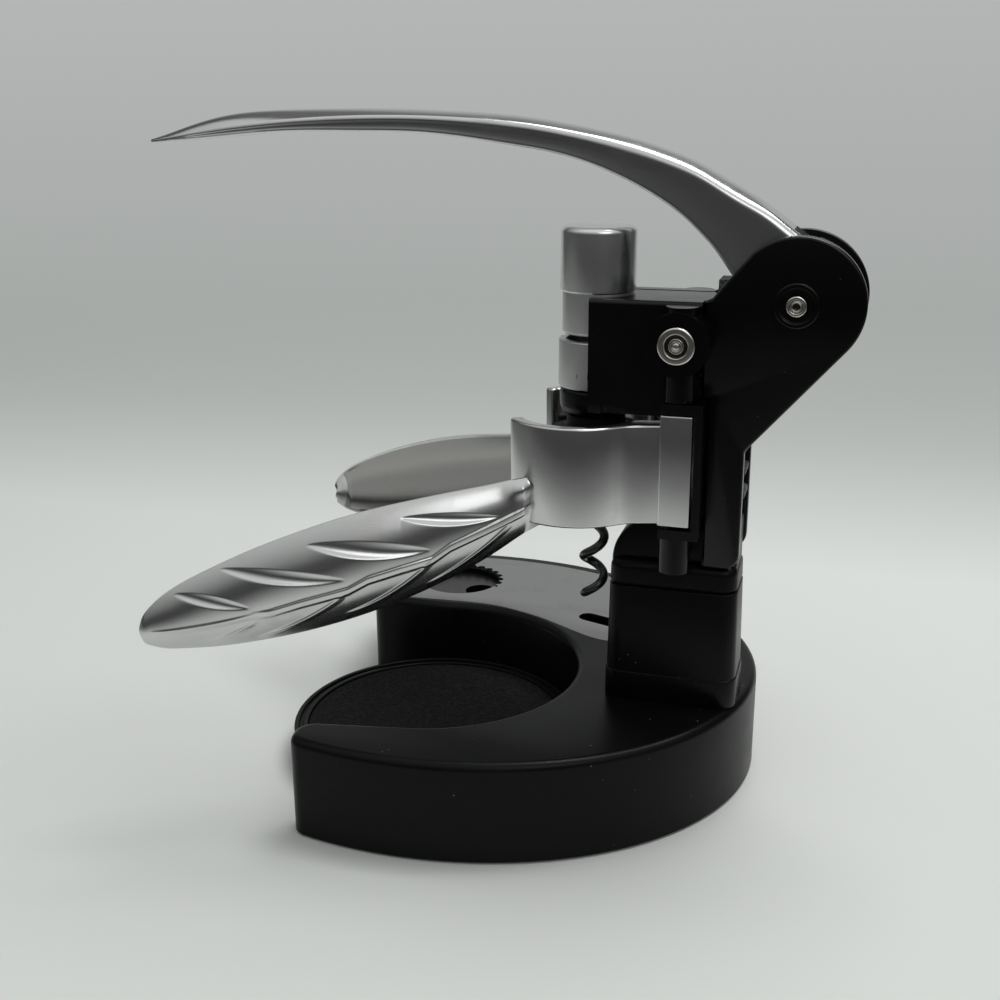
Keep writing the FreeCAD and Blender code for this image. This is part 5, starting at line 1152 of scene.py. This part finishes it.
def skin(steps, inner):
    """One face of the grip; the inner one is the smooth dish with its rim. `off` is how far
    the face stands out: a bulge, DISH * height * (1 - across^2), then the relief and the
    knot, and towards the root the soft larger, (a + b + sqrt((a - b)^2 + c)) / 2, with the
    jaw's own face."""
    across = np.cos(np.linspace(0, pi, steps))
    level = middle_level + tall / 2 * across * (RIM_INSET if inner else 1.0)
    run = np.broadcast_to(rows[:, None], level.shape)
    bulge = DISH * tall * (1 - across ** 2) - BULGE_BASE
    fade = ramp(1 - across ** 2, 0, 0.2) * ramp(run, 0, 3) * ramp(run, 102, 96)
    above = level - middle_level - tall * 0.36
    knot = KNOT_HIGH * np.exp(-((run - KNOT_RUN) / 3.0) ** 2 - (above / 2.2) ** 2)
    off = bulge + relief(run, level) * fade + knot
    off = (off + jaw_off + np.sqrt((off - jaw_off) ** 2 + SOFT_JOIN)) / 2
    off -= ROOT_DIVE * ramp(run, KNOT_RUN, KNOT_RUN + 6)
    if inner:
        rim = np.minimum(RIM, tall * 0.3)
        shell = np.minimum(GRIP_THICK, tall * 0.45)
        wall = np.maximum(ramp(np.abs(across), 0.86, 0.94), ramp(run, 7.0, 2.5))
        hollow = DISH * tall * (1 - across ** 4) - shell + (shell - rim) * wall
        land = off + (bulge - LAND_BASE - off) * ramp(run, 92, 84) - rim
        off = np.minimum(hollow * ramp(run, 100, 94) + off * ramp(run, 94, 100), land)
    flat = TIP + run[..., None] * run_along + off[..., None] * outward
    return np.concatenate([flat, level[..., None]], -1)


leaf = np.concatenate([skin(161, False), skin(41, True)[:, ::-1]], axis=1)
tip_end = np.broadcast_to(leaf[:1].mean(1, keepdims=True), leaf[:1].shape)
root_end = np.broadcast_to(leaf[-1:].mean(1, keepdims=True), leaf[:1].shape)
grip = [grid(np.concatenate([tip_end, leaf, root_end]), around=True)]
near_parts = jaw + knuckle + grip


def handle(name, parts, side, node):
    """A handle's piece; the faces of its dish, which look back at the neck, get a darker, warmer copy of the
    casting's finish: painted shade and a painted brownish reflection.
    """
    made = piece(name, parts, name, "satin_casting", node)
    centres = per_face(made.data, "center") / MM
    facing = per_face(made.data, "normal")[:, :2] @ (outward * [1, side])
    run = (centres[:, :2] - TIP * [1, side]) @ (run_along * [1, side])
    middle, height = (np.interp(run, rows, column[:, 0]) for column in (middle_level, tall))
    across = np.abs(centres[:, 2] - middle) * 2 / height
    in_dish = (run > DISH_FROM) & (run < DISH_TO) & (across < DISH_SHARE)
    # Painted shade and a painted brownish reflection on the dish faces that look back at the neck.
    second_finish(made, "dish_painted_shade", in_dish & (facing < -0.1))


handle("near_handle", near_parts, 1, "near_clamp_handle")
handle("far_handle", mirrored(near_parts), -1, "far_clamp_handle")

# %% [markdown]
# ## Floor, backdrop, light and camera
# The object stands on a pale floor that rises into a grey backdrop without a corner,
# so one sheet is bent through a quarter circle. A wide lamp overhead and a weak one
# from the front right give soft light; the world fills the rest in. The backdrop's
# colour, not more light, sets how pale it is. Outside the camera's view, which is at
# both sides, high up and behind the camera, the sheet is darker, so that the silver
# parts have something dark to mirror. The camera stands where the lens of the picture
# stood, found from the object's own sizes.

# %% Floor and backdrop
FLAT_END, SWEEP = 360.0, 260.0
LOOK_COS, LOOK_SIN = 0.959, 0.284
along_y = np.concatenate([
    np.stack([np.linspace(-1500, FLAT_END, 40), np.zeros(40)], -1),
    arc(FLAT_END, SWEEP, SWEEP, -90, 0, 24)[1:],
    np.stack([np.full(20, FLAT_END + SWEEP), np.linspace(SWEEP + 60, 2000, 20)], -1),
])
wide = np.linspace(-2200, 2200, 30)
sheet_points = np.stack(np.broadcast_arrays(wide[:, None], along_y[None, :, 0], along_y[None, :, 1]), -1)
floor = placed("floor", make_mesh("floor", [grid(sheet_points)]))

paper = Finish("paper", specular_ior_level=0.2, roughness=0.8)
paper_x, paper_y, paper_z = (paper.axis(name) for name in "XYZ")
ahead = paper_y * LOOK_COS - paper_x * LOOK_SIN
left_edge = 1 - (paper_x + paper_y * 0.776 + 0.16).between(-0.34, -0.05)
right_edge = (paper_x - paper_y * 0.084).between(0.155, 0.40)
outside = left_edge.math("MAXIMUM", right_edge)
far = paper_y.between(0.18, 0.56)
front = (1 - ahead.between(-0.27, -0.118)) ** 0.6
beyond = 1 - ahead.between(-0.52, -0.33)
rising, high = paper_z.between(0.0, 0.26), paper_z.between(0.40, 0.66)
mottle = paper.noise(3, detail=2) * 0.06
tone = paper.mix(far + mottle - 0.03, (0.635, 0.65, 0.63, 1), (0.50, 0.51, 0.50, 1))
for share, level in ((outside * 0.8, 0.08), (front, 0.14), (beyond, 0.03)):
    tone = paper.mix(share, tone, grey(level))
glow = paper.mix(rising, (0.37, 0.39, 0.375, 1), (0.46, 0.47, 0.465, 1))
for share, level in ((high, 0.14), (outside, 0.06)):
    glow = paper.mix(share, glow, grey(level))
camera_ray, glossy_ray, through_ray = (
    paper.node("ShaderNodeLightPath", out=f"Is {kind} Ray") for kind in ("Camera", "Glossy", "Transmission"))
seen = camera_ray.math("MAXIMUM", glossy_ray).math("MAXIMUM", through_ray)
paper.set(base_color=tone)
glow_node = paper.tree.nodes.new("ShaderNodeEmission")
feed(paper.tree, glow_node.inputs["Color"], glow)
blend_node = paper.tree.nodes.new("ShaderNodeMixShader")
feed(paper.tree, blend_node.inputs[0], seen * far.between(0.0, 0.9))
links = paper.tree.links
links.new(paper.shader.outputs[0], blend_node.inputs[1])
links.new(glow_node.outputs[0], blend_node.inputs[2])
links.new(blend_node.outputs[0], paper.tree.nodes["Material Output"].inputs["Surface"])
floor.data.materials.append(paper.material)
print("floor and backdrop points", len(floor.data.vertices))


# %% Lamps and world
def lamp(name, place, aim, wide, deep, watts):
    """A soft rectangular lamp at a place in metres, turned to face a point."""
    data = bpy.data.lights.new(name, "AREA")
    data.shape = "RECTANGLE"
    data.size, data.size_y, data.energy = wide, deep, watts
    made = placed(name, data)
    made.location = place
    made.rotation_mode = "QUATERNION"
    made.rotation_quaternion = (Vector(aim) - Vector(place)).to_track_quat("-Z", "Y")


lamp("overhead", (0.27, 0.34, 1.14), (0, 0, 0), 0.75, 0.6, 10.8)
lamp("window", (0.62, -0.90, 0.86), (-0.03, -0.05, 0.07), 0.7, 0.5, 1.4)
world = bpy.data.worlds.new("room")
world.use_nodes = True
bpy.context.scene.world = world
LOW_GLOW, HIGH_GLOW = 0.06, 0.72
room = world.node_tree
facing = room.nodes.new("ShaderNodeTexCoord")
split = room.nodes.new("ShaderNodeSeparateXYZ")
room.links.new(facing.outputs["Generated"], split.inputs[0])
lift = Value(room, split.outputs["Z"]).between(0.15, 0.85)
background = room.nodes["Background"]
feed(room, background.inputs["Strength"], lift * (HIGH_GLOW - LOW_GLOW) + LOW_GLOW)
background.inputs["Color"].default_value = (0.97, 1.0, 0.98, 1)

# %% Camera
SENSOR = 36.0
PIXELS, FOCAL_PIXELS = 1000.0, 1281.95
CAMERA_MM = (91.354, -323.171, 184.164)
heading, pitch, roll = np.radians([16.543, -17.454, -0.377])
look = Vector((-np.sin(heading) * np.cos(pitch), np.cos(heading) * np.cos(pitch), np.sin(pitch)))
right = Vector((np.cos(heading), np.sin(heading), 0.0))
up = right.cross(look)
turned_right = right * np.cos(roll) + up * np.sin(roll)
turned_up = turned_right.cross(look)
camera_data = bpy.data.cameras.new("camera")
camera_data.sensor_width = SENSOR
camera_data.lens = SENSOR * FOCAL_PIXELS / PIXELS
camera_data.clip_start, camera_data.clip_end = 0.01, 20.0
camera = placed("camera", camera_data)
axes = Matrix((turned_right, turned_up, -look)).transposed()
camera.matrix_world = Matrix.Translation(Vector(CAMERA_MM) * MM) @ axes.to_4x4()
bpy.context.scene.camera = camera
bpy.context.scene.view_settings.view_transform = "Standard"
print("lens mm", round(camera_data.lens, 2), "camera at", camera.location[:])
